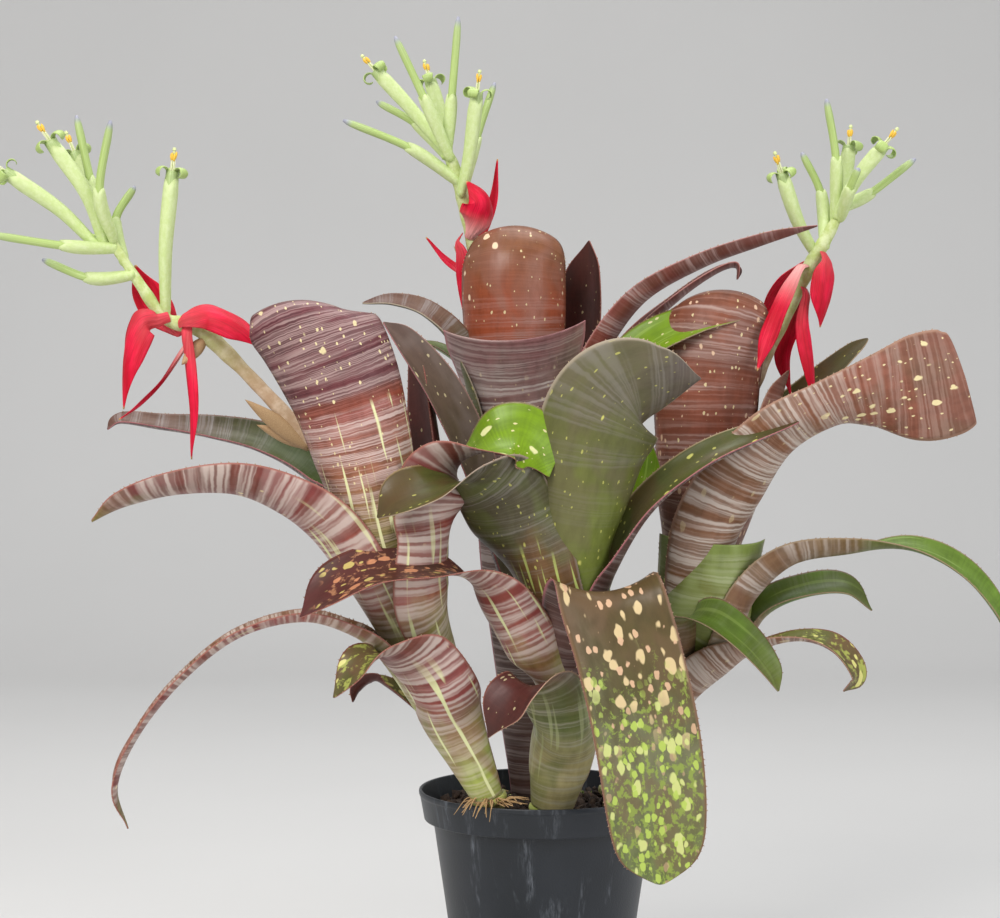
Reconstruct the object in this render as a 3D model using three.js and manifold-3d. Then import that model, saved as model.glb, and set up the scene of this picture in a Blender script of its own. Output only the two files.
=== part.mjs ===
// Potted tarantello billbergia: a clump of four leaf rosettes with three flower spikes in a black
// nursery pot. Millimetres, +Z up, origin at the centre of the pot's underside. The plant is seen
// from -Y, with +X to the right.

import * as THREE from 'three';
import { mergeVertices } from 'three/addons/utils/BufferGeometryUtils.js';
import Module from 'manifold-3d';

const wasm = await Module();
wasm.setup();

// Driving dimensions
const POT_HEIGHT = 120;
const POT_RIM_RADIUS = 70;
const POT_BASE_RADIUS = 47;
const POT_BAND_HEIGHT = 17;
const POT_BAND_TAPER = 3;
const POT_STEP = 5;
const POT_WALL = 1.6;
const POT_FLOOR = 2;
const POT_FOOT_EDGE = 2;
const POT_RIM_EDGE = 2;
const DRAIN_HOLES = 6;
const DRAIN_RADIUS = 4;
const DRAIN_CIRCLE = 32;
const DRAIN_FACETS = 8;
const SOIL_TOP = 108;
const SOIL_BUMP = 1.6;
const GAP = 0.35;
const LEAF_THICKNESS = 0.9;
const BRACT_THICKNESS = 0.8;
const STEM_DEPTH = 24;
const LEAF_FACETS = 5;
const TIP_NARROWING = 0.8;
const ROUND_FACETS = 30;
const STEM_FACETS = 8;

// Each rosette grows round a leaning axis. Its outermost sheath starts at `radius` and widens by
// `flare` per millimetre of height; each layer further in is smaller by `pitch`, which also grows.
const left = { foot: [-30, -50, 124], lean: [-46, -13, 111], radius: 9, flare: 0.19, layers: 8 };
const front = { foot: [5, -38, 116], lean: [20, -12, 118], radius: 12, flare: 0.2, layers: 8 };
const rear = { foot: [-6, 34, 110], lean: [-3, 0, 200], radius: 13, flare: 0.13, layers: 8 };
const right = { foot: [44, 10, 116], lean: [42, -10, 118], radius: 11, flare: 0.17, layers: 9 };
const PITCH = 1.8;
const PITCH_GROWTH = 0.007;
const CORE_RADIUS = 3.4;
const LAYER_STEP = 0.6;
const START_STEP = 0.5;

// Materials
const COLOURS = {
  plastic: '#2b2f35',
  soil: '#2a211a',
  stem: '#c9cf86',
  mauve: '#8c6670',
  banded: '#a08a84',
  olive: '#6c6a45',
  green: '#5d8a2e',
  brown: '#6b4238',
  spike: '#cfe09a',
  bract: '#e01f3c',
};
const material = (colour, roughness = 0.55) => (
  new THREE.MeshStandardMaterial({ color: COLOURS[colour], roughness, metalness: 0 })
);

const part = new THREE.Group();
function add(name, geometry, colour, roughness) {
  const mesh = new THREE.Mesh(geometry, material(colour, roughness));
  mesh.name = name;
  part.add(mesh);
}

// Vector helpers
const vec = (p) => new THREE.Vector3(p[0], p[1], p[2]);
const degrees = (angle) => THREE.MathUtils.degToRad(angle);
const TANGENT_STEP = 0.02;

// Seeded random numbers from 0 to 1
function randomSource(seed) {
  let state = seed;
  return () => {
    state = (state * 1664525 + 1013904223) % 4294967296;
    return state / 4294967296;
  };
}

// Catmull-Rom curve through rows of numbers; `at` counts rows, so 1.5 is halfway from row 1 to row 2
function curveAt(rows, at) {
  const last = rows.length - 1;
  const low = Math.min(Math.max(Math.floor(at), 0), last - 1);
  const f = at - low;
  const b = rows[low];
  const c = rows[low + 1];
  const a = low > 0 ? rows[low - 1] : b.map((value, k) => 2 * value - c[k]);
  const d = low + 2 <= last ? rows[low + 2] : c.map((value, k) => 2 * value - b[k]);
  return b.map((value, k) => {
    const linear = c[k] - a[k];
    const square = 2 * a[k] - 5 * value + 4 * c[k] - d[k];
    const cube = 3 * value - a[k] - 3 * c[k] + d[k];
    return value + 0.5 * f * (linear + f * (square + f * cube));
  });
}

function tangentAt(rows, at) {
  const ahead = vec(curveAt(rows, Math.min(at + TANGENT_STEP, rows.length - 1)));
  const behind = vec(curveAt(rows, Math.max(at - TANGENT_STEP, 0)));
  return ahead.sub(behind).normalize();
}

// Signed volume, which is negative when the faces point inwards
function volumeOf(geometry) {
  const p = geometry.getAttribute('position');
  const index = geometry.getIndex().array;
  const corner = (k) => new THREE.Vector3().fromBufferAttribute(p, index[k]);
  let sum = 0;
  for (let k = 0; k < index.length; k += 3) {
    sum += corner(k).dot(corner(k + 1).cross(corner(k + 2)));
  }
  return sum / 6;
}

function faceOutwards(geometry) {
  if (volumeOf(geometry) < 0) {
    geometry.getIndex().array.reverse();
  }
  return geometry;
}

// Closed solid through rings of the same even number of points. The first half of a ring is one
// face of a blade and the second half the other, so both faces are split along like diagonals.
function loft(rings) {
  const size = rings[0].length;
  const half = size / 2;
  const index = [];
  for (let row = 0; row + 1 < rings.length; row += 1) {
    for (let i = 0; i < size; i += 1) {
      const a = row * size + i;
      const b = row * size + (i + 1) % size;
      if (i < half) {
        index.push(a, b, b + size, a, b + size, a + size);
      } else {
        index.push(a, b, a + size, b, b + size, a + size);
      }
    }
  }
  const end = (rings.length - 1) * size;
  for (let i = 0; i + 1 < half; i += 1) {
    const j = size - 1 - i;
    index.push(i + 1, i, j, i + 1, j, j - 1);
    index.push(end + i, end + i + 1, end + j, end + i + 1, end + j - 1, end + j);
  }
  const geometry = new THREE.BufferGeometry();
  const corners = rings.flat().flatMap((point) => [point.x, point.y, point.z]);
  geometry.setAttribute('position', new THREE.Float32BufferAttribute(corners, 3));
  geometry.setIndex(index);
  return faceOutwards(geometry);
}

// Two directions square to a given one
function crossDirections(direction) {
  const upright = Math.abs(direction.z) > 0.9;
  const helper = upright ? new THREE.Vector3(1, 0, 0) : new THREE.Vector3(0, 0, 1);
  const first = helper.cross(direction).normalize();
  return [first, direction.clone().cross(first)];
}

function circle(centre, direction, radius, facets) {
  const [u, v] = crossDirections(direction);
  return Array.from({ length: facets }, (_, i) => {
    const angle = (2 * Math.PI * i) / facets;
    return centre.clone()
      .addScaledVector(u, radius * Math.cos(angle))
      .addScaledVector(v, radius * Math.sin(angle));
  });
}

// Round rod along rows of x, y, z, radius
function rod(rows, stations, facets) {
  const rings = [];
  for (let k = 0; k <= stations; k += 1) {
    const at = ((rows.length - 1) * k) / stations;
    const row = curveAt(rows, at);
    rings.push(circle(vec(row), tangentAt(rows, at), row[3], facets));
  }
  return loft(rings);
}

// Solids for cutting and joining
const SLIVER = 0.02;

function solid(geometry) {
  const bare = geometry.clone();
  bare.deleteAttribute('normal');
  bare.deleteAttribute('uv');
  const merged = mergeVertices(bare, 1e-4);
  return new wasm.Manifold(new wasm.Mesh({
    numProp: 3,
    vertProperties: new Float32Array(merged.getAttribute('position').array),
    triVerts: new Uint32Array(merged.getIndex().array),
  }));
}

// Slivers, small scraps and sealed hollows left by cutting and joining are dropped
const largestPiece = (body) => (
  body.decompose().reduce((best, piece) => (piece.volume() > best.volume() ? piece : best))
);

const cleaned = (body) => largestPiece(largestPiece(body).simplify(SLIVER));

function geometryOf(body) {
  const mesh = cleaned(body).getMesh();
  const geometry = new THREE.BufferGeometry();
  geometry.setAttribute('position', new THREE.BufferAttribute(mesh.vertProperties, 3));
  geometry.setIndex(new THREE.BufferAttribute(mesh.triVerts, 1));
  return geometry;
}

const joined = (geometries) => geometries.map(solid).reduce((all, one) => all.add(one));

// Leaf sheaths: a place on layer `layer` of a rosette, `height` up its axis
const sheathRadius = (rosette, layer, height) => (
  rosette.radius + rosette.flare * height - layer * (PITCH + PITCH_GROWTH * height)
);

const axisOf = (rosette) => vec(rosette.lean).normalize();

const axisPoint = (rosette, height) => vec(rosette.foot).addScaledVector(axisOf(rosette), height);

// Inner layers start further up, where the cone of the rosette has room for them
function sheathStart(rosette, layer) {
  let height = LAYER_STEP * layer;
  while (sheathRadius(rosette, layer, height) < CORE_RADIUS + PITCH) {
    height += START_STEP;
  }
  return height;
}

function outwardAt(rosette, azimuth) {
  const axis = axisOf(rosette);
  const flat = new THREE.Vector3(Math.cos(degrees(azimuth)), Math.sin(degrees(azimuth)), 0);
  return flat.addScaledVector(axis, -flat.dot(axis)).normalize();
}

function sheathRow({ rosette, layer, azimuth, wrap }, height) {
  const outward = outwardAt(rosette, azimuth);
  const radius = sheathRadius(rosette, layer, height);
  const place = axisPoint(rosette, height).addScaledVector(outward, radius);
  return [...place.toArray(), radius * degrees(wrap), wrap, ...outward.negate().toArray()];
}

// Rows of a blade are the midrib's x, y, z, the width, the curl of the cross section in degrees and,
// where the blade is turned, the direction that its upper side faces. A leaf that is not turned
// leans straight out from its rosette.
function fullRow(row, next, azimuth) {
  if (row.length > 5) {
    return row;
  }
  const along = vec(next).sub(vec(row)).normalize();
  const side = new THREE.Vector3(-Math.sin(degrees(azimuth)), Math.cos(degrees(azimuth)), 0);
  const face = along.clone().cross(side.addScaledVector(along, -side.dot(along)).normalize());
  return [...row, ...face.toArray()];
}

function bladeRing(rows, at, narrowing, thickness, facets, margin = 0) {
  const row = curveAt(rows, at);
  const along = tangentAt(rows, at);
  const face = vec(row.slice(5));
  face.addScaledVector(along, -face.dot(along)).normalize();
  const side = face.clone().cross(along);
  const radius = Math.max((row[3] * narrowing) / degrees(row[4]), thickness);
  const curl = degrees(row[4]) + margin / radius;
  const centre = vec(row).addScaledVector(face, radius);
  const point = (i, reach) => {
    const angle = (i / facets - 0.5) * curl;
    return centre.clone()
      .addScaledVector(face, -reach * Math.cos(angle))
      .addScaledVector(side, reach * Math.sin(angle));
  };
  const steps = Array.from({ length: facets + 1 }, (_, i) => i);
  const outer = steps.map((i) => point(i, radius + thickness / 2));
  const inner = steps.map((i) => point(i, radius - thickness / 2));
  return [...outer, ...inner.reverse()];
}

// Blade along its rows; `pad` makes it larger all round, for cutting the room that it needs
function blade(rows, { stations, facets, tip, thickness }, pad = 0) {
  const rings = [];
  for (let k = 0; k <= stations; k += 1) {
    const t = k / stations;
    const at = t * (rows.length - 1);
    const inTip = tip > 0 ? Math.max((t - 1 + tip) / tip, 0) : 0;
    const narrowing = Math.sqrt(1 - TIP_NARROWING * inTip * inTip);
    const ring = bladeRing(rows, at, narrowing, thickness + 2 * pad, facets, 2 * pad);
    const shift = tangentAt(rows, at).multiplyScalar(pad * ((k === stations) - (k === 0)));
    rings.push(ring.map((point) => point.add(shift)));
  }
  return loft(rings);
}

// Leaves wait here until all are known, because an outer sheath is notched where the blade of an
// inner leaf leaves the rosette
const leaves = [];

function leaf(name, colour, options, rows) {
  const { rosette, layer, azimuth, rise } = options;
  const start = sheathStart(rosette, layer);
  const heights = [start, (start + rise) / 2, rise];
  const sheath = heights.map((height) => sheathRow(options, height));
  const ahead = (k) => rows[k + 1] ?? rows[k].map((value, i) => 2 * value - rows[k - 1][i]);
  const free = rows.map((row, k) => fullRow(row, ahead(k), azimuth));
  const all = [...sheath, ...free];
  const shape = {
    stations: all.length - 1,
    facets: options.facets ?? LEAF_FACETS,
    tip: options.tip,
    thickness: LEAF_THICKNESS,
  };
  const body = solid(blade(all, shape));
  const room = solid(blade(all, shape, GAP));
  leaves.push({ name, colour, body, room });
}

function addLeaves() {
  leaves.forEach(({ name, colour, body }, k) => {
    const crossing = leaves.slice(k + 1).filter((other) => body.intersect(other.body).volume() > 0);
    const notched = crossing.reduce((rest, other) => rest.subtract(other.room), body);
    add(name, geometryOf(notched), colour);
  });
}

// Pot
const potWallRadius = (height) => {
  const top = POT_RIM_RADIUS - POT_BAND_TAPER - POT_STEP;
  return POT_BASE_RADIUS + ((top - POT_BASE_RADIUS) * height) / (POT_HEIGHT - POT_BAND_HEIGHT);
};

function potProfile() {
  const shoulder = POT_HEIGHT - POT_BAND_HEIGHT;
  const bandRadius = POT_RIM_RADIUS - POT_BAND_TAPER;
  const inside = (height) => potWallRadius(height) - POT_WALL;
  const points = [
    [0, 0],
    [POT_BASE_RADIUS - POT_FOOT_EDGE, 0],
    [POT_BASE_RADIUS, POT_FOOT_EDGE],
    [potWallRadius(shoulder), shoulder],
    [bandRadius, shoulder],
    [POT_RIM_RADIUS, POT_HEIGHT - POT_RIM_EDGE],
    [POT_RIM_RADIUS, POT_HEIGHT],
    [POT_RIM_RADIUS - POT_WALL, POT_HEIGHT],
    [bandRadius - POT_WALL, shoulder + POT_WALL],
    [inside(shoulder), shoulder + POT_WALL],
    [inside(POT_FLOOR), POT_FLOOR],
    [0, POT_FLOOR],
  ];
  return points.map(([x, y]) => new THREE.Vector2(x, y));
}

// Lathes turn round Y, so they are laid over to turn round Z
const lathe = (profile) => {
  const geometry = new THREE.LatheGeometry(profile, ROUND_FACETS).rotateX(Math.PI / 2);
  geometry.deleteAttribute('normal');
  geometry.deleteAttribute('uv');
  return faceOutwards(mergeVertices(geometry, 1e-3));
};

function drainHole(index) {
  const hole = new THREE.CylinderGeometry(DRAIN_RADIUS, DRAIN_RADIUS, 4 * POT_FLOOR, DRAIN_FACETS);
  hole.rotateX(Math.PI / 2);
  const angle = (2 * Math.PI * (index + 0.5)) / DRAIN_HOLES;
  hole.translate(DRAIN_CIRCLE * Math.cos(angle), DRAIN_CIRCLE * Math.sin(angle), 0);
  return solid(hole);
}

function pot() {
  let body = solid(lathe(potProfile()));
  for (let k = 0; k < DRAIN_HOLES; k += 1) {
    body = body.subtract(drainHole(k));
  }
  return geometryOf(body);
}

// Stems: a stepped cone whose terraces carry the leaf sheaths, on a root that goes into the soil
const NECK_HEIGHT = -6;
const NECK_RATIO = 0.62;
const COLLAR_HEIGHT = 3;
const TERRACE_EDGE = 0.7;
const TERRACE_RATIO = 0.95;
const TERRACE_INSET = 0.8;
const CONE_RATIO = 0.8;
const CONE_HEIGHT = 4;

function terrace(rosette, layer) {
  const start = sheathStart(rosette, layer);
  const edge = sheathRadius(rosette, layer, start);
  const inner = Math.max(TERRACE_RATIO * edge - TERRACE_INSET, CORE_RADIUS);
  return [[edge + TERRACE_EDGE, start - GAP], [inner, start - GAP]];
}

// Pairs of radius and height, from the root up
function stemProfile(rosette) {
  const terraces = Array.from({ length: rosette.layers }, (_, layer) => terrace(rosette, layer));
  const [widest, lowest] = terraces[0][0];
  const [inner, highest] = terraces.at(-1)[1];
  return [
    [CORE_RADIUS + 1, -STEM_DEPTH],
    [rosette.radius * NECK_RATIO, NECK_HEIGHT],
    [widest, lowest - COLLAR_HEIGHT],
    ...terraces.flat(),
    [inner * CONE_RATIO, highest + CONE_HEIGHT],
  ];
}

const stemTop = (rosette) => stemProfile(rosette).at(-1)[1];

function stemBody(rosette, extra = 0) {
  const axis = axisOf(rosette);
  const rings = stemProfile(rosette).map(([radius, height]) => (
    circle(axisPoint(rosette, height), axis, radius + extra, STEM_FACETS)
  ));
  return loft(rings);
}

// Hanging roots of the left rosette, which sits at the rim: they leave below the sheaths, cross over
// the rim and hang outside it
const ROOTS = 8;
const ROOT_FACETS = 4;
const ROOT_LEVEL = -5.5;
const ROOT_RADIUS = 0.9;
const ROOT_TAPER = 0.3;
const ROOT_CLEARANCE = 3;
const ROOT_FIRST = -115;
const ROOT_SPREAD = 85;
const ROOT_START = 4;
const ROOT_REACH = 15;
const ROOT_END = 6;
const ROOT_DROP = 2;
const ROOT_HANG = 3;
const REACH_SCATTER = 2;
const END_SCATTER = 3;
const HANG_SCATTER = 2;

function rootRows(index, random) {
  const outward = outwardAt(left, ROOT_FIRST + (ROOT_SPREAD * index) / (ROOTS - 1));
  const hub = axisPoint(left, ROOT_LEVEL);
  const start = hub.clone().addScaledVector(outward, ROOT_START);
  const over = hub.clone().addScaledVector(outward, ROOT_REACH + REACH_SCATTER * random());
  over.z = POT_HEIGHT + ROOT_CLEARANCE + random();
  const end = over.clone().addScaledVector(outward, ROOT_END + END_SCATTER * random());
  end.z = over.z - ROOT_DROP;
  const clear = Math.hypot(end.x, end.y) > POT_RIM_RADIUS + ROOT_CLEARANCE;
  if (clear) {
    end.z -= ROOT_HANG * (1 + HANG_SCATTER * random());
  }
  const radii = [1, 0, -1].map((step) => ROOT_RADIUS * (1 + ROOT_TAPER * step));
  return [start, over, end].map((point, k) => [...point.toArray(), radii[k]]);
}

function rootedStem() {
  const random = randomSource(11);
  const roots = Array.from({ length: ROOTS }, (_, index) => (
    rod(rootRows(index, random), 2, ROOT_FACETS)
  ));
  return geometryOf(joined([stemBody(left), ...roots]));
}

// Soil: fills the pot to a bumpy top, with a hole for each stem
const SOIL_RINGS = [40, 16];
const SOIL_SLOPE = 2;
const SOIL_DIP = 0.2;

function soilProfile() {
  const wall = (height) => potWallRadius(height) - POT_WALL - GAP;
  const bandInside = POT_RIM_RADIUS - POT_BAND_TAPER - POT_WALL - GAP;
  const shoulder = POT_HEIGHT - POT_BAND_HEIGHT + POT_WALL + GAP;
  const points = [
    [0, POT_FLOOR + GAP],
    [wall(POT_FLOOR), POT_FLOOR + GAP],
    [wall(shoulder - SOIL_SLOPE), shoulder],
    [bandInside, shoulder],
    [bandInside, SOIL_TOP],
    ...SOIL_RINGS.map((radius) => [radius, SOIL_TOP]),
    [0, SOIL_TOP],
  ];
  return points.map(([x, y]) => new THREE.Vector2(x, y));
}

function soil() {
  const random = randomSource(5);
  const geometry = lathe(soilProfile());
  const p = geometry.getAttribute('position');
  for (let i = 0; i < p.count; i += 1) {
    const onTop = p.getZ(i) > SOIL_TOP - GAP;
    if (onTop && Math.hypot(p.getX(i), p.getY(i)) < SOIL_RINGS[0] + 1) {
      p.setZ(i, SOIL_TOP + SOIL_BUMP * (random() - SOIL_DIP));
    }
  }
  const stems = [left, front, rear, right].map((rosette) => solid(stemBody(rosette, GAP)));
  return geometryOf(stems.reduce((body, stem) => body.subtract(stem), solid(geometry)));
}

// Flowers: ovary, calyx and petal tube as one turned shape along a bent path
const FLOWER_FACETS = 5;
const FLOWER_SHAPE = [[0, 1.4], [0.16, 2.8], [0.3, 2.4], [0.7, 3.7], [1, 1.8]];
const PETAL_LENGTH = 16;
const PETAL_WIDTH = 3.6;
const PETAL_THICKNESS = 0.9;
const PETAL_ROLL = 250;
const PETAL_STATIONS = 3;
const PETAL_TIGHTENING = 0.25;
const PETAL_NARROWING = 0.5;
const MOUTH_RADIUS = 1.7;
const PETAL_ROOTS = [1, 1.5, 2];
const STYLE_ROOT = 3;
const STYLE_LENGTH = 11;
const STYLE_RADII = [1.2, 1.5];
const STYLE_FACETS = 4;
const FLOWER_ROOT = 1;
const SEARCH_STEP = 0.05;

// Point `depth` under the surface of a rod, on the side where the target lies
function surfaceTowards(rows, target, depth) {
  let best = rows[0];
  for (let at = 0; at <= rows.length - 1; at += SEARCH_STEP) {
    const row = curveAt(rows, at);
    if (vec(row).distanceTo(target) < vec(best).distanceTo(target)) {
      best = row;
    }
  }
  const outward = target.clone().sub(vec(best)).normalize();
  return { point: vec(best).addScaledVector(outward, best[3] - depth), outward };
}

function flowerTube(path) {
  const rings = FLOWER_SHAPE.map(([t, radius]) => {
    const at = t * (path.length - 1);
    return circle(vec(curveAt(path, at)), tangentAt(path, at), radius, FLOWER_FACETS);
  });
  return loft(rings);
}

// Petal that leaves the tube's mouth and rolls back on itself
function rolledPetal(mouth, along, outward) {
  const side = along.clone().cross(outward);
  const radius = PETAL_LENGTH / degrees(PETAL_ROLL);
  const centre = mouth.clone().addScaledVector(outward, radius + MOUTH_RADIUS);
  const half = PETAL_THICKNESS / 2;
  const rings = [];
  for (let k = 0; k <= PETAL_STATIONS; k += 1) {
    const t = k / PETAL_STATIONS;
    const angle = degrees(PETAL_ROLL) * t;
    const ray = outward.clone()
      .multiplyScalar(-Math.cos(angle))
      .addScaledVector(along, Math.sin(angle));
    const middle = centre.clone().addScaledVector(ray, radius * (1 - PETAL_TIGHTENING * t));
    const reach = (PETAL_WIDTH / 2) * (1 - PETAL_NARROWING * t);
    const corner = (w, d) => middle.clone().addScaledVector(side, w).addScaledVector(ray, d);
    rings.push([corner(-reach, half), corner(reach, half), corner(reach, -half), corner(-reach, -half)]);
  }
  return loft(rings);
}

function openParts(path) {
  const end = path.length - 1;
  const mouth = vec(curveAt(path, end));
  const along = tangentAt(path, end);
  const [u, v] = crossDirections(along);
  const inTube = (depth) => mouth.clone().addScaledVector(along, -depth);
  const petals = PETAL_ROOTS.map((depth, k) => {
    const angle = (2 * Math.PI * k) / PETAL_ROOTS.length;
    const outward = u.clone()
      .multiplyScalar(Math.cos(angle))
      .addScaledVector(v, Math.sin(angle));
    return rolledPetal(inTube(depth), along, outward);
  });
  const style = [
    [...inTube(STYLE_ROOT).toArray(), STYLE_RADII[0]],
    [...inTube(-STYLE_LENGTH).toArray(), STYLE_RADII[1]],
  ];
  return [...petals, rod(style, 1, STYLE_FACETS)];
}

const fromScape = (scape, path) => [
  surfaceTowards(scape, vec(path[0]), FLOWER_ROOT).point.toArray(),
  ...path,
];

// Bracts: red blades whose feet lie against the scape
const BRACT_ROOT = 5;
const BRACT_FOOT = 5;
const BRACT_FOOT_CURL = 50;
const SEAT_REACH = 6;
const SEAT_ROUNDS = 24;
const BRACT_SHAPE = { stations: 5, facets: 2, tip: 0, thickness: BRACT_THICKNESS };

function bract(scape, rows) {
  const faced = rows.map((row) => {
    const { outward } = surfaceTowards(scape, vec(row), 0);
    return [...row, ...outward.negate().toArray()];
  });
  const along = vec(rows[1]).sub(vec(rows[0])).normalize();
  const foot = surfaceTowards(scape, vec(rows[0]), -GAP - BRACT_THICKNESS / 2).point;
  foot.addScaledVector(along, -BRACT_ROOT);
  const inward = faced[0].slice(5);
  const root = [...foot.toArray(), BRACT_FOOT, BRACT_FOOT_CURL, ...inward];
  return { body: solid(blade([root, ...faced], BRACT_SHAPE)), inward: vec(inward) };
}

// Moves a bract inwards until it lies a gap away from its spike
function seated({ body, inward }, carrier) {
  let place = body;
  for (let round = 0; round < SEAT_ROUNDS; round += 1) {
    const reach = place.minGap(carrier, SEAT_REACH) - GAP;
    place = place.translate(inward.clone().multiplyScalar(reach).toArray());
  }
  return place;
}

// Scape from the top of its rosette's stem, through the tube of leaves and out along its own rows
const SCAPE_FACETS = 6;
const SCAPE_STATIONS = 3;
const SCAPE_FOOT_RADII = [2.6, 3.6];
const SCAPE_FOOT_LENGTH = 60;

function fullScape(rosette, rows) {
  const top = stemTop(rosette) + GAP;
  const foot = SCAPE_FOOT_RADII.map((radius, k) => (
    [...axisPoint(rosette, top + SCAPE_FOOT_LENGTH * k).toArray(), radius]
  ));
  return [...foot, ...rows];
}

function spike(name, rosette, { rows, flowers, bracts }) {
  const scape = fullScape(rosette, rows);
  const paths = flowers.map(({ path }) => fromScape(scape, path));
  const tubes = paths.map((path) => flowerTube(path));
  const mouths = paths.filter((_, k) => flowers[k].open).flatMap(openParts);
  const stalk = rod(scape, scape.length + SCAPE_STATIONS, SCAPE_FACETS);
  const whole = joined([stalk, ...tubes, ...mouths]);
  add(`${name}_flower_spike`, geometryOf(whole), 'spike');
  bracts.forEach((one, k) => {
    add(`${name}_bract_${k + 1}`, geometryOf(seated(bract(scape, one), whole)), 'bract');
  });
}

// Left rosette
leaf('left_outer_leaf', 'banded', {
  rosette: left, layer: 0, azimuth: -112, rise: 50, wrap: 165, tip: 0.2,
}, [
  [-61, -84, 182, 58, 150],
  [-73, -94, 202, 52, 110, 0.3, 0.8, 0.6],
  [-85, -103, 208, 34, 70, -0.1, 0.1, 1],
  [-100, -106, 202, 26, 60, -0.5, -0.6, 0.5],
  [-112, -105, 186, 6, 30, -0.6, -0.7, 0],
]);
leaf('left_ribbon_leaf', 'banded', {
  rosette: left, layer: 1, azimuth: 185, rise: 58, wrap: 105, tip: 0.1, facets: 3,
}, [
  [-90, -76, 205, 34, 130],
  [-107, -80, 218, 29, 110],
  [-131, -83, 224, 26, 100],
  [-163, -86, 216, 23, 90],
  [-192, -88, 194, 21, 90],
  [-216, -88, 165, 25, 60],
  [-229, -86, 136, 23, 50],
  [-224, -82, 112, 5, 40],
]);
leaf('left_withered_leaf', 'brown', {
  rosette: left, layer: 2, azimuth: 150, rise: 50, wrap: 90, tip: 0.2, facets: 3,
}, [
  [-87, -46, 185, 16, 90],
  [-95, -48, 187, 15, 80],
  [-102, -50, 183, 13, 70],
  [-105, -50, 176, 4, 40],
]);
leaf('left_wide_leaf', 'banded', {
  rosette: left, layer: 3, azimuth: -165, rise: 80, wrap: 155, tip: 0.1,
}, [
  [-103, -82, 243, 56, 130, 0.7, 0.5, 0.5],
  [-119, -90, 270, 52, 110, 0.5, 0.6, 0.6],
  [-138, -94, 286, 44, 95, 0.3, 0.6, 0.75],
  [-164, -96, 296, 36, 85, 0.1, 0.55, 0.85],
  [-196, -96, 295, 28, 80, 0, 0.5, 0.9],
  [-223, -93, 288, 21, 70, -0.1, 0.4, 0.9],
  [-241, -90, 278, 8, 50, -0.5, 0.2, 0.8],
]);
leaf('left_tube_leaf', 'mauve', {
  rosette: left, layer: 5, azimuth: -92, rise: 100, wrap: 165, tip: 0.08,
}, [
  [-86, -94, 261, 66, 180],
  [-95, -102, 301, 72, 160],
  [-106, -106, 343, 78, 140],
  [-117, -108, 374, 80, 125],
  [-123, -104, 391, 72, 100],
  [-126, -92, 395, 56, 70],
  [-125, -80, 389, 22, 40],
]);
leaf('left_twisted_leaf', 'banded', {
  rosette: left, layer: 4, azimuth: -45, rise: 86, wrap: 120, tip: 0.15,
}, [
  [-59, -92, 236, 46, 110],
  [-58, -97, 269, 44, 108],
  [-59, -99, 290, 44, 95, -0.1, 0.9, 0.3],
  [-52, -99, 306, 42, 80, -0.2, 0.6, 0.7],
  [-36, -98, 315, 40, 60, -0.1, -0.1, 1],
  [-18, -96, 323, 42, 50, 0.1, -0.7, 0.6],
  [-4, -94, 316, 36, 50, 0.4, -0.8, 0.3],
  [2, -92, 302, 8, 30, 0.5, -0.8, 0],
]);
leaf('left_back_leaf', 'green', {
  rosette: left, layer: 6, azimuth: 165, rise: 80, wrap: 105, tip: 0.1, facets: 3,
}, [
  [-106, -36, 271, 44, 120],
  [-127, -29, 298, 43, 100, 0.3, -0.35, 0.85],
  [-153, -26, 314, 38, 90, 0.1, -0.4, 0.9],
  [-182, -26, 322, 30, 80, 0, -0.4, 0.9],
  [-212, -28, 326, 24, 80, 0, -0.3, 0.95],
  [-233, -30, 329, 19, 80, -0.3, -0.3, 0.9],
  [-241, -32, 325, 9, 60, -0.8, -0.3, 0.3],
]);
leaf('left_inner_leaf', 'brown', {
  rosette: left, layer: 7, azimuth: 20, rise: 80, wrap: 110, tip: 0.15,
}, [
  [-54, -40, 264, 50, 120],
  [-57, -30, 302, 50, 100],
  [-63, -22, 341, 44, 80],
  [-69, -16, 368, 26, 60],
  [-72, -14, 376, 8, 40],
]);

// Front rosette
leaf('front_lower_leaf', 'olive', {
  rosette: front, layer: 0, azimuth: -105, rise: 30, wrap: 175, tip: 0.2,
}, [
  [6, -78, 162, 50, 160],
  [3, -86, 181, 44, 120, 0.1, 0.9, 0.5],
  [-3, -95, 190, 34, 80, -0.2, 0.2, 1],
  [-13, -102, 190, 31, 55, -0.3, -0.5, 0.7],
  [-23, -103, 179, 27, 50, -0.4, -0.8, 0.3],
  [-30, -101, 164, 6, 30, -0.5, -0.8, 0.1],
]);
leaf('front_strap_leaf', 'olive', {
  rosette: front, layer: 1, azimuth: -55, rise: 62, wrap: 140, tip: 0.1,
}, [
  [25, -80, 206, 64, 150, -0.2, 0.9, 0.2],
  [28, -87, 228, 64, 110, -0.2, 0.8, 0.5],
  [31, -97, 241, 60, 70, -0.1, 0.2, 1],
  [36, -108, 233, 58, 45, 0, -0.9, 0.4],
  [45, -112, 202, 57, 36, 0.1, -1, 0.1],
  [53, -112, 165, 57, 36, 0.1, -1, 0.05],
  [58, -110, 127, 54, 34, 0.1, -1, 0],
  [60, -108, 103, 44, 32, 0.1, -1, 0],
  [61, -107, 87, 16, 30, 0.1, -1, 0],
]);
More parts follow.
